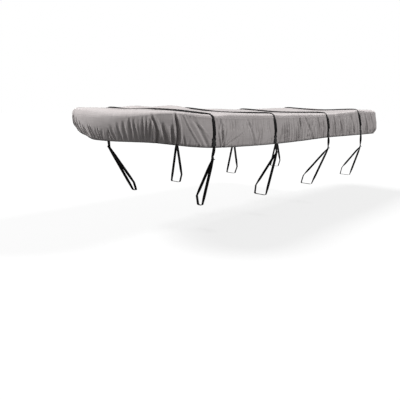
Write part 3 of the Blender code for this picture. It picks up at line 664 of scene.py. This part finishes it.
# the two sides share their points along the bow, the stern and the centreline
for last in (0, -1):
    port[:, last] = 0.5 * (port[:, last] + star[:, last]) * (1.0, 0.0, 1.0)
    star[:, last] = port[:, last]
port[-1] = star[-1] = 0.5 * (port[-1] + star[-1])
print("rows and columns on each side:", rows, width)


# %% The sheet's faces
def at_corners(grid, corners):
    """For every face of a grid, the grid's values at its four corners."""
    high, wide = grid.shape
    return np.stack([grid[a:high - 1 + a, b:wide - 1 + b].ravel() for a, b in corners], axis=1)


port_index = np.arange(rows * width).reshape(rows, width)
star_index = port_index + rows * width
star_index[:, 0], star_index[:, -1], star_index[-1] = port_index[:, 0], port_index[:, -1], port_index[-1]
row_lengths = np.linalg.norm(np.diff(port, axis=0), axis=-1)
climb = np.concatenate([np.zeros((1, width)), np.cumsum(row_lengths, axis=0)])
faces, uv = [], []
for side, index in ((1, port_index), (-1, star_index)):
    corners = [(0, 0), (0, 1), (1, 1), (1, 0)][::side]
    faces.append(at_corners(index, corners))
    across = np.broadcast_to(column_g * side, (rows, width))
    uv.append(np.stack([at_corners(layer, corners) for layer in (across, climb)], axis=-1))
points = np.concatenate([port.reshape(-1, 3), star.reshape(-1, 3)])
faces, uv = np.concatenate(faces), np.concatenate(uv)
used, faces = np.unique(faces, return_inverse=True)
cover_sheet = make_object("cover_sheet", points[used], faces.reshape(-1, 4), canvas, uv)
file_piece(cover_sheet, "canvas", "cover")
print("sheet:", len(cover_sheet.data.polygons), "faces")

# %% [markdown]
# ## A band of webbing
#
# A strap is a flat band with soft edges. A curve object with a bevel could draw it, but it gives no say in
# how the band turns at each point. So a section with eight corners is swept along a line whose every point
# has a direction across the band and one out of it. The same function makes the long straps, the drops, the
# loops and the hem's tape.

# %% A band along a line
def band_section(wide, thick):
    """The band's section as pairs of a place across and a height, with its edges taken off."""
    edge, half = min(0.3 * thick, 0.2 * wide), 0.5 * wide
    return [(-half, edge), (-half + edge, 0.0), (half - edge, 0.0), (half, edge),
            (half, thick - edge), (half - edge, thick), (-half + edge, thick), (-half, thick - edge)]


def band(name, line, across, out, wide, thick, finish, closed=False):
    """Webbing whose back runs along line: the section swept from point to point."""
    line, across, out = (np.asarray(v, float) for v in (line, across, out))
    section = band_section(wide, thick)
    rings = np.stack([line + across * a + out * b for a, b in section], axis=1)
    count, around = len(line), len(section)
    index = np.arange(count * around).reshape(count, around)
    before, after = (index, np.roll(index, -1, axis=0)) if closed else (index[:-1], index[1:])
    quads = [before, np.roll(before, -1, axis=1), np.roll(after, -1, axis=1), after]
    faces = [list(quad) for quad in np.stack(quads, axis=-1).reshape(-1, 4)]
    reach = lengths_along(line)
    if closed:
        reach = np.append(reach, reach[-1] + np.linalg.norm(line[0] - line[-1]))
    wide_at = [a for a, _ in section] + [section[0][0]]
    uv = [(wide_at[c + a], reach[k + b]) for k in range(len(before)) for c in range(around)
          for a, b in ((0, 0), (1, 0), (1, 1), (0, 1))]
    if not closed:
        faces += [list(index[0][::-1]), list(index[-1])]
        uv += [(0.0, 0.0)] * (2 * around)
    made = make_object(name, rings.reshape(-1, 3), faces, finish, uv)
    # turn the faces outwards whichever way the directions went
    first = made.data.polygons[0]
    if first.normal.dot(first.center - Vector(rings[:2].mean(axis=(0, 1)))) < 0:
        made.data.flip_normals()
    return made


def unit(v):
    """The same direction with a length of 1."""
    return v / np.linalg.norm(v, axis=-1, keepdims=True)


print("a strap's section has", len(band_section(STRAP_WIDTH, WEBBING)), "corners")

# %% [markdown]
# ## The straps over the cover
#
# Each strap is one length of webbing from buckle to buckle. A Shrinkwrap modifier could lay it on the
# cover, but it would follow every small fold, where tight webbing bridges them. So it follows the surface
# function along the plain strip that was kept for it. Webbing that is pulled tight also rolls a little: it
# stands on its forward edge on the port side and over the top, and lies flat over the shoulder and at its
# buckles.

# %% How a strap lies
BUCKLE_ROW = 0.32  # height on the side at which a strap meets its buckle
BUCKLE_GAP, BUCKLE_THICK = 0.002, 0.016
SEAT_GAP, RISE = 0.0008, 0.030  # a strap's height off the cloth, and where it rises to its buckle
SIDE_ROLLS, TOP_ROLL = (15.0, 24.0, 33.0, 37.0), 26.0  # in degrees, for each strap's port side and the tops
ROLL_SOFT, ROLL_END, ROLL_END_SOFT, TOP_FROM, TOP_SOFT = 0.15, 1.05, 0.2, 1.8, 0.35
ROW_STEP, SPINE_ROW = 0.004, 2.996  # the step that the cloth's slope is taken over, and a side's last row
SIDE_STEPS, SHOULDER_STEPS, TOP_STEPS = 16, 13, 26


def cover_frame(side, g, row):
    """Points of the cloth with the directions along the outline and out of the cloth."""
    here = cover_at(side, g, row)
    forward = unit(cover_at(side, g - BAND, row) - cover_at(side, g + BAND, row))
    up = unit(cover_at(side, g, row + ROW_STEP) - cover_at(side, g, row - ROW_STEP))
    return here, forward, unit(np.cross(forward, up)) * -side


def rolled(row, side_roll):
    """How far a strap is rolled at a row of the profile, in radians."""
    on_side = side_roll * ease((row - BUCKLE_ROW) / ROLL_SOFT) * ease((ROLL_END - row) / ROLL_END_SOFT)
    return np.radians(on_side + TOP_ROLL * ease((row - TOP_FROM) / TOP_SOFT))[:, None]


print("rolled on the side by", SIDE_ROLLS, "degrees")

# %% The four straps
PATH = np.concatenate([
    np.linspace(BUCKLE_ROW, 1.0, SIDE_STEPS), np.linspace(1.0, 2.0, SHOULDER_STEPS)[1:],
    np.linspace(2.0, SPINE_ROW, TOP_STEPS)[1:]])
for number, centre in enumerate(STRAP_AT, 1):
    near, far = cover_frame(1, centre, PATH), cover_frame(-1, centre, PATH[::-1])
    line, forward, out = (np.concatenate([a, b]) for a, b in zip(near, far))
    travelled = lengths_along(line)
    from_end = np.minimum(travelled, travelled[-1] - travelled)
    raised = (BUCKLE_GAP + 0.5 * (BUCKLE_THICK - WEBBING)) * ease(1.0 - from_end / RISE) + SEAT_GAP
    roll = np.concatenate([rolled(PATH, SIDE_ROLLS[number - 1]), rolled(PATH[::-1], 0.0)])
    line = line + out * (raised[:, None] + 0.5 * STRAP_WIDTH * np.sin(roll))
    across = forward * np.cos(roll) - out * np.sin(roll)
    face = out * np.cos(roll) + forward * np.sin(roll)
    piece = band(f"strap_{number}", line, across, face, STRAP_WIDTH, WEBBING, webbing)
    file_piece(piece, "webbing", f"over_strap_{number}")
    print(piece.name, "is", round(travelled[-1], 2), "m long")

# %% [markdown]
# ## Buckles and adjusters
#
# A side-release buckle has a housing and an insert whose two prongs show in the housing's sides, and a
# three-bar adjuster is a small ladder. Boolean cuts could make the slots, but they leave untidy faces. Both
# are flat plastic plates with holes, so each is drawn as an outline or a grid with cells left out, given
# its thickness and rounded with a bevel.

# %% Plates of plastic
def solid_from_outline(points, low, high):
    """A plate between two heights, from an outline in x and y."""
    count = len(points)
    verts = [(x, y, z) for z in (low, high) for x, y in points]
    faces = [list(range(count))[::-1], [count + k for k in range(count)]]
    faces += [[k, (k + 1) % count, count + (k + 1) % count, count + k] for k in range(count)]
    return verts, faces


def solid_from_grid(xs, ys, holes, low, high):
    """A plate made of the cells between xs and ys, without the cells in holes."""
    verts = [(x, y, z) for z in (low, high) for y in ys for x in xs]
    wide, layer = len(xs), len(xs) * len(ys)
    filled = {(i, j) for i in range(len(xs) - 1) for j in range(len(ys) - 1)} - set(holes)
    faces = []
    for i, j in sorted(filled):
        a, b, c, d = (j * wide + i, j * wide + i + 1, (j + 1) * wide + i + 1, (j + 1) * wide + i)
        faces += [[d, c, b, a], [a + layer, b + layer, c + layer, d + layer]]
        beside = ((i, j - 1), (i + 1, j), (i, j + 1), (i - 1, j))
        for neighbour, (p, q) in zip(beside, ((a, b), (b, c), (c, d), (d, a))):
            if neighbour not in filled:
                faces.append([p, q, q + layer, p + layer])
    return verts, faces


def moulding(name, solids, rounding):
    """One object of several plates, each with rounded edges."""
    verts, faces = [], []
    for some_verts, some_faces in solids:
        faces += [[v + len(verts) for v in face] for face in some_faces]
        verts += some_verts
    made = make_object(name, verts, faces, acetal, smooth=False)
    soft_edge = made.modifiers.new("Rounding", "BEVEL")
    soft_edge.width, soft_edge.segments, soft_edge.limit_method = rounding, 2, "ANGLE"
    return made


print("a plate without holes has", len(solid_from_grid((0, 1), (0, 1), [], 0, 1)[1]), "faces")

# %% The plates of a buckle
mm = 0.001


def in_metres(points):
    """An outline, or a list of places, given in millimetres."""
    return [tuple(v * mm for v in point) if isinstance(point, tuple) else point * mm for point in points]


def mirrored(points):
    """An outline from its right half, given from top to bottom in millimetres."""
    return in_metres(points) + in_metres([(-x, y) for x, y in points[::-1]])


HOUSING = mirrored([(24, -5), (27, 0), (27, 5), (30, 12), (32, 20), (36, 26), (37, 32), (37, 50), (35, 52.5)])
INSERT_NECK = mirrored([(26, -33), (30, -28), (29, -18), (25, -12), (25, -4)])
PANEL = mirrored([(16, 8), (21, 14), (24, 30), (24, 36)])
PRONG = [(27.5, -4), (33, -3), (36.5, 2), (36.8, 10), (34.5, 17), (31, 20), (30, 13), (27.8, 6)]
INSERT_ACROSS = in_metres((-37, -26.5, 26.5, 37))
INSERT_ALONG = in_metres((-52.5, -48, -44, -39.5, -35.5, -29))
INSERT_SLOTS = [(1, 1), (1, 3)]
# back and front of each plate, from the buckle's middle
LADDER_FACES, HOUSING_FACES, PANEL_FACES = (-0.0045, 0.0045), (-0.0080, 0.0070), (0.0071, 0.0080)
NECK_FACES, PRONG_FACES = (-0.0035, 0.0050), (-0.0040, 0.0045)


def buckle_solids():
    """The insert's ladder, the housing with its raised panel, the insert's neck and its two prongs."""
    ladder = solid_from_grid(INSERT_ACROSS, INSERT_ALONG, INSERT_SLOTS, *LADDER_FACES)
    housing = solid_from_outline(HOUSING[::-1], *HOUSING_FACES)
    panel = solid_from_outline(PANEL[::-1], *PANEL_FACES)
    neck = solid_from_outline(INSERT_NECK[::-1], *NECK_FACES)
    prongs = [solid_from_outline(in_metres([(side * x, y) for x, y in PRONG])[::-side], *PRONG_FACES)
              for side in (1, -1)]
    return [ladder, housing, panel, neck, *prongs]


print("buckle:", len(buckle_solids()), "plates")

# %% The plates of an adjuster
SLIDE_ACROSS = in_metres((-28, -25.6, 25.6, 28))
SLIDE_ALONG = in_metres((-15, -10.5, -5, -1.5, 1.5, 5, 10.5, 15))
SLIDE_SLOTS = [(1, 1), (1, 2), (1, 4), (1, 5)]
LIP_ACROSS, LIP_ALONG = in_metres((-25, 25)), in_metres((10.8, 14.6))
SLIDE_FACES, LIP_FACES = (-0.0025, 0.0025), (0.0026, 0.0044)


def adjuster_solids():
    """The three-bar ladder, and a lip on its upper bar to pull at."""
    return [solid_from_grid(SLIDE_ACROSS, SLIDE_ALONG, SLIDE_SLOTS, *SLIDE_FACES),
            solid_from_grid(LIP_ACROSS, LIP_ALONG, [], *LIP_FACES)]


print("adjuster:", len(adjuster_solids()), "plates")

# %% [markdown]
# The CAD block of each buckle says where it is and how it lies. Its angles could be typed in, but they
# follow the cloth, so they are measured: the directions of the corners' spread are the block's length and
# thickness.

# %% Placing them like their CAD blocks
BUCKLE_ROUNDING, SLIDE_ROUNDING = 0.0012, 0.0008


def placed_like(node):
    """Centre of a CAD block and the directions in which it is thinnest and longest, from its corners."""
    corners = np.array([v.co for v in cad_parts[node].data.vertices])
    low, high = (Vector(c) for c in (corners.min(0), corners.max(0)))
    spread = np.linalg.eigh(np.cov((corners - corners.mean(0)).T))[1]
    return (low + high) / 2.0, Vector(spread[:, 0]), Vector(spread[:, 2])


def settle(piece, centre, down, out):
    """Put a plate at its place, with its length downwards and its face outwards."""
    turned_to = Matrix((down.cross(out), down, out)).transposed().to_4x4()
    piece.matrix_world = Matrix.Translation(centre) @ turned_to


def place_buckle(end, side):
    """The buckle of one strap end; returns its centre and the directions down along it and out of it."""
    centre, thin, long = placed_like(f"buckle_{end}")
    out = thin if thin.y * side > 0 else -thin
    down = long if long.z < 0 else -long
    buckle = moulding(f"side_release_buckle_{end}", buckle_solids(), BUCKLE_ROUNDING)
    settle(buckle, centre, down, out)
    file_piece(buckle, "moulded", f"buckle_{end}")
    return centre, down, out


def place_adjuster(end, side):
    """The adjuster of one strap end, which hangs upright; returns its centre."""
    centre = placed_like(f"adjuster_{end}")[0]
    slide = moulding(f"three_bar_slide_{end}", adjuster_solids(), SLIDE_ROUNDING)
    settle(slide, centre, Vector((0.0, 0.0, 1.0)), Vector((0.0, side, 0.0)))
    file_piece(slide, "moulded", f"adjuster_{end}")
    return centre


print("first buckle at", [round(v, 3) for v in placed_like("buckle_1_port")[0]])

# %% [markdown]
# ## Drops and loops
#
# Below each buckle a short drop of webbing runs down to the adjuster, is threaded through it and ends
# loose. A loop hangs from the adjuster's lowest bar. A drop could be a bevelled curve, but the slots leave
# the webbing only some tenths of a millimetre, so its line is given point by point in the upright plane
# through the adjuster. Between its ends the webbing twists, as it does on the real cover.

# %% Lines of webbing
TWISTS = (20.0, 26.0, 32.0, 38.0)  # each strap's drops and loop legs twist by these degrees midway
LEG_STEP, TWIST_SOFT, FREE_STEPS = 0.03, 0.2, 10.0  # a run twists only if it is longer than so many steps
ARC_POINTS, ARC_SHARE = 4, 0.45  # a corner's arc takes up at most this share of the run beside it


def rounded(corners, radius):
    """A closed line in a plane, with each corner replaced by a short arc."""
    made = []
    for k, corner in enumerate(corners):
        before, after = corners[k - 1], corners[(k + 1) % len(corners)]
        a, b = (corner + unit(end - corner) * min(radius, ARC_SHARE * np.linalg.norm(end - corner))
                for end in (before, after))
        for t in np.linspace(0.0, 1.0, ARC_POINTS):
            made.append((1 - t) ** 2 * a + 2 * t * (1 - t) * corner + t * t * b)
    return np.array(made)


def with_steps(points, most):
    """A closed line with extra points on its long runs, and the webbing's twist at each, at most so far."""
    made, twist = [], []
    for k, point in enumerate(points):
        run = points[(k + 1) % len(points)] - point
        free = np.linalg.norm(run) > FREE_STEPS * LEG_STEP
        count = max(1, round(np.linalg.norm(run) / LEG_STEP))
        for share in np.arange(count) / count:
            made.append(point + run * share)
            twist.append(most * ease(share / TWIST_SOFT) * ease((1.0 - share) / TWIST_SOFT) * free)
    return np.array(made), np.array(twist)


def heading(line):
    """The direction along a closed line at each of its points."""
    return unit(np.roll(line, -1, axis=0) - np.roll(line, 1, axis=0))


def turned_about(v, way, angle):
    """Directions across a line, turned about the line's own direction."""
    return v * np.cos(angle) + np.cross(way, v) * np.sin(angle)


def swept(name, line, across, first_out):
    """Webbing along a line that turns about its own width; at first its outer face looks along first_out."""
    out = unit(np.cross(across, unit(np.gradient(line, axis=0))))
    out *= math.copysign(1.0, float(out[0] @ first_out))
    return band(name, line, across, out, STRAP_WIDTH, WEBBING, webbing)


print("drops and legs twist by", TWISTS, "degrees")

# %% The drop and its loose end
# Round the slide, in mm outwards and upwards from its middle: the drop goes down behind the upper bar, over
# the middle one and back through the lower slot, and a loose end stands off in front of the loop.
SLIDE_WRAP = ((-4.7, 24), (-4.7, 12.5), (-3.4, 8.2), (-0.2, 5.8), (2.2, 3.6), (2.7, 1.2), (2.6, -1.4),
              (0.6, -3.2), (-3.5, -3.8), (-7.6, -5.2), (-9.4, -9.5), (-9.5, -20))
LOOSE_END = ((5.5, -20), (6, -12), (11, -7), (20, -8), (30, -14))
BUCKLE_LENGTH, END_GAP, DROP_BULGE, DROP_STEPS = 0.105, 0.0005, 0.006, 9


def make_drop(end, side, buckle, knee, twisted):
    """The drop from its buckle down through the slide, and its loose end."""
    centre, down, out = buckle
    outwards, upwards, knee = np.array((0.0, side, 0.0)), np.array((0.0, 0.0, 1.0)), np.array(knee)
    wrap, tail_line = ([knee + outwards * a * mm + upwards * b * mm for a, b in places]
                       for places in (SLIDE_WRAP, LOOSE_END))
    start = np.array(centre + down * (0.5 * BUCKLE_LENGTH + END_GAP))
    shares = np.linspace(0.0, 1.0, DROP_STEPS + 1)[:-1, None]
    fall = start * (1 - shares) + wrap[0] * shares + outwards * DROP_BULGE * np.sin(math.pi * shares)
    line = np.vstack([fall, wrap])
    steps = np.arange(len(line))
    level = down.cross(out)
    straight = np.array((math.copysign(1.0, level.x), 0.0, 0.0))
    turned = ease(steps / (DROP_STEPS - 1))[:, None]
    across = unit(np.array(level) * (1 - turned) + straight * turned)
    angle = twisted * np.sin(math.pi * np.clip(steps / DROP_STEPS, 0.0, 1.0))[:, None]
    across = turned_about(across, unit(np.gradient(line, axis=0)), angle)
    file_piece(swept(f"drop_webbing_{end}", line, across, outwards), "webbing", f"drop_{end}")
    tail_across = np.tile(across[-1], (len(tail_line), 1))
    file_piece(swept(f"loose_end_{end}", np.array(tail_line), tail_across, outwards), "webbing")


print("a drop has", DROP_STEPS + len(SLIDE_WRAP), "points")

# %% The loop
LOOP_CLEAR, LOOP_CORNER, LOOP_BEND = 0.002, 0.010, 0.008
# from the slide's middle to its end, how far the webbing passes over and beside the lowest bar, and how far
# below the bar the legs part
SLIDE_HALF, OVER_BAR, BESIDE_BAR, NIP = 0.015, 0.0056, 0.0032, 0.001


def loop_corners(seat, strap):
    """The loop's corners in the upright plane through it, as distances out and heights."""
    foot_y, foot_z = strap["foot_out"] - 0.5 * strap["foot_wide"], strap["foot_base"] + 0.5 * FOOT_HIGH
    reach_y, reach_z = 0.5 * strap["foot_wide"] + LOOP_CLEAR, 0.5 * FOOT_HIGH + LOOP_CLEAR
    seat_y, low_z, top_z = abs(seat.y), foot_z - reach_z, seat.z + OVER_BAR
    return low_z, np.array([
        (seat_y + BESIDE_BAR, top_z), (seat_y + BESIDE_BAR, seat.z - NIP),
        (foot_y + reach_y, low_z + LOOP_CORNER), (foot_y + reach_y - LOOP_CORNER, low_z),
        (foot_y - reach_y + LOOP_CORNER, low_z), (foot_y - reach_y, low_z + LOOP_CORNER),
        (foot_y - reach_y, foot_z + reach_z),
        (seat_y - BESIDE_BAR, seat.z - NIP), (seat_y - BESIDE_BAR, top_z)])


def make_loop(end, side, knee, strap, twisted):
    """The loop from its adjuster down, round its square foot and up again."""
    seat = knee - Vector((0.0, 0.0, SLIDE_HALF))
    low_z, corners = loop_corners(seat, strap)
    flat, twist = with_steps(rounded(corners, LOOP_BEND), twisted)
    tangent = heading(flat)
    normal = np.column_stack([-tangent[:, 1], tangent[:, 0]])
    if ((flat - flat.mean(0)) * normal).sum() < 0:
        normal = -normal
    foot_x = strap["foot_port" if side > 0 else "foot_star"]
    lean = (foot_x - seat.x) / (seat.z - low_z)
    fallen = np.maximum(0.0, seat.z - flat[:, 1])
    line = np.column_stack([seat.x + lean * fallen, side * flat[:, 0], flat[:, 1]])
    out = np.column_stack([np.zeros(len(flat)), side * normal[:, 0], normal[:, 1]])
    across = np.tile((1.0, 0.0, 0.0), (len(flat), 1))
    # both legs turn the same way about the upright, so that they stay side by side
    turn = (-twist * np.sign(tangent[:, 1]))[:, None]
    across, out = (turned_about(v, heading(line), turn) for v in (across, out))
    loop = band(f"bar_loop_{end}", line, across, out, LOOP_WIDTH, WEBBING, webbing, closed=True)
    file_piece(loop, "webbing", f"rail_loop_{end}")


print("a loop's foot is", FOOT_HIGH, "m high")

# %% Every strap end
for number, strap in enumerate(STRAPS, 1):
    twisted = math.radians(TWISTS[number - 1])
    for side, word in ((1, "port"), (-1, "starboard")):
        end = f"{number}_{word}"
        buckle = place_buckle(end, side)
        knee = place_adjuster(end, side)
        make_drop(end, side, buckle, knee, twisted)
        make_loop(end, side, knee, strap, twisted)
print("hardware on", len(STRAPS) * 2, "strap ends")

# %% [markdown]
# ## The hem
#
# The hem's edge is bound with a tape that holds the elastic. Its dark grey is partly the tape's own colour
# and partly painted shadow, the shade that falls just under the hem. A thicker last row of the sheet could
# stand for it, but its dark edge shows all round, so it is a band of its own along the sheet's lowest row.

# %% Binding tape round the hem
HEM_POINTS, TAPE_HIGH, TAPE_THICK, TAPE_BELOW = 620, 0.018, 0.006, 0.004
hem_g = np.linspace(0.0, GIRTH, HEM_POINTS)
hem_rows = [cover_at(side, hem_g, 0.0) for side in (1, -1)]
hem_rows[0][[0, -1], 1] = 0.0
hem_line = np.concatenate([hem_rows[0], hem_rows[1][-2:0:-1]])
hem_up = np.tile((0.0, 0.0, 1.0), (len(hem_line), 1))
hem_out = unit(np.cross(hem_up, heading(hem_line)))
hem_out *= np.sign((hem_out[:, :2] * hem_line[:, :2]).sum(1).mean())
tape_line = hem_line - hem_out * 0.5 * TAPE_THICK + hem_up * (0.5 * TAPE_HIGH - TAPE_BELOW)
# painted shadow: this dark band, 18 mm high, also stands for the shade along the hem's lower edge
tape = band("hem_edge_and_shadow", tape_line, hem_up, hem_out, TAPE_HIGH, TAPE_THICK, tape_and_shadow, closed=True)
file_piece(tape, "canvas")
print("hem is", round(lengths_along(hem_line)[-1], 2), "m round")

# %% [markdown]
# ## Stitches
#
# The hem is sewn with one line of stitches, and the seam between side and top with two. A dashed texture
# could draw them, but the seam's relief is what catches the light, so each stitch is a small spindle on the
# cloth. They are drawn larger than real, 8.5 mm long, as far as their spacing allows.

# %% Stitches
STITCH_PITCH, STITCH_LONG, STITCH_HALF, STITCH_MARGIN = 0.012, 0.0085, 0.0011, 0.01
STITCH_ROWS, STITCH_ROW_STEP = (0.062, 0.985, 1.09), 0.01
SIDES, CORNERS = 4, 6  # a spindle has four sides between its two tips


def stitch_line(row):
    """Corners and faces of a line of stitches all round the cover at one row of its profile."""
    verts, faces = [], []
    for side in (1, -1):
        g = np.arange(STITCH_MARGIN, GIRTH - STITCH_MARGIN, STITCH_PITCH)
        start, end = cover_at(side, g, row), cover_at(side, g + STITCH_LONG, row)
        way, up = unit(end - start), unit(cover_at(side, g, row + STITCH_ROW_STEP) - start)
        out = unit(np.cross(way, up)) * -side
        middle = 0.5 * (start + end) + out * 0.5 * STITCH_HALF
        rim = [up * STITCH_HALF, out * STITCH_HALF, -up * STITCH_HALF, -out * STITCH_HALF]
        spindle = np.stack([start, *(middle + r for r in rim), end], axis=1)
        base = len(verts) + CORNERS * np.arange(len(g))
        verts.extend(spindle.reshape(-1, 3))
        for k in range(SIDES):
            this, after = base + 1 + k, base + 1 + (k + 1) % SIDES
            faces.extend(np.stack([base, this, after], axis=1)[:, ::side])
            faces.extend(np.stack([base + CORNERS - 1, after, this], axis=1)[:, ::side])
    return verts, faces


verts, faces = [], []
for row in STITCH_ROWS:
    more_verts, more_faces = stitch_line(row)
    faces.extend(np.array(more_faces) + len(verts))
    verts.extend(more_verts)
stitches = make_object("seam_stitches", verts, faces, thread)
file_piece(stitches, "canvas")
print("stitches:", len(verts) // CORNERS)

# %% [markdown]
# ## Studio
#
# A pale floor, a broad sun from high ahead on the far side, which makes the top and the bow bright, and a
# narrower one from astern on the near side. Both come from well to the side of the camera, so every fold
# that it sees has a lit and a shaded wall. A sun is used in place of a softbox because the cover is nearly
# eight metres long, and a softbox near it would light its ends unevenly. The floor is painted grey with a
# glow that only the camera sees: a white floor would throw so much light up that the folds would go flat.

# %% Floor
FLOOR_Z, FLOOR_HALF, FLOOR_GLOW, CLOUDS_PER_M = -1.960, 60.0, 0.76, 0.4
WHITE = (1.0, 1.0, 1.0, 1.0)
floor_finish, tree, shader = start_material("painted_studio_floor", Roughness=0.9, Specular_IOR_Level=0.1)
place = add_node(tree, "ShaderNodeTexCoord").outputs["Object"]
cloudy = add_node(tree, "ShaderNodeTexNoise", [("Vector", place), ("Scale", CLOUDS_PER_M)])
tone = add_node(tree, "ShaderNodeValToRGB", [("Fac", cloudy.outputs["Fac"])])
ends = tone.color_ramp.elements
ends[0].color, ends[1].color = linear("#606060"), linear("#646464")
tree.links.new(tone.outputs["Color"], shader.inputs["Base Color"])
seen = add_node(tree, "ShaderNodeLightPath").outputs["Is Camera Ray"]
glow = add_node(tree, "ShaderNodeMapRange", [("Value", seen), (3, 0.0), (4, FLOOR_GLOW)])
shader.inputs["Emission Color"].default_value = WHITE
tree.links.new(glow.outputs[0], shader.inputs["Emission Strength"])
floor_corners = [(x * FLOOR_HALF, y * FLOOR_HALF, FLOOR_Z) for x, y in ((-1, -1), (1, -1), (1, 1), (-1, 1))]
floor = make_object("floor", floor_corners, [(0, 1, 2, 3)], floor_finish)
print("floor at", FLOOR_Z, "m")

# %% Light
# name, strength, how wide the sun is in degrees, the way its light travels
SUNS = (("key_light", 5.7, 20.0, (-0.568, 0.328, -0.755)), ("side_light", 2.75, 9.0, (0.439, -0.627, -0.643)))
for name, strength, softness, direction in SUNS:
    light = bpy.data.lights.new(name, "SUN")
    light.energy, light.angle = strength, math.radians(softness)
    lamp = bpy.data.objects.new(name, light)
    lamp.rotation_mode = "QUATERNION"
    lamp.rotation_quaternion = Vector(direction).to_track_quat("-Z", "Y")
    bpy.context.scene.collection.objects.link(lamp)

# %% World
SKY_LIGHT, SKY_SEEN = 0.26, 1.0  # the sky's strength as light, and as the camera sees it
world = bpy.data.worlds.new("studio")
bpy.context.scene.world = world
world.use_nodes = True
tree = world.node_tree
seen = add_node(tree, "ShaderNodeLightPath").outputs["Is Camera Ray"]
strength = add_node(tree, "ShaderNodeMapRange", [("Value", seen), (3, SKY_LIGHT), (4, SKY_SEEN)])
tree.links.new(strength.outputs[0], tree.nodes["Background"].inputs["Strength"])
tree.nodes["Background"].inputs["Color"].default_value = WHITE
bpy.context.scene.view_settings.view_transform = "Standard"
print("sky at", SKY_LIGHT, "and seen at", SKY_SEEN)
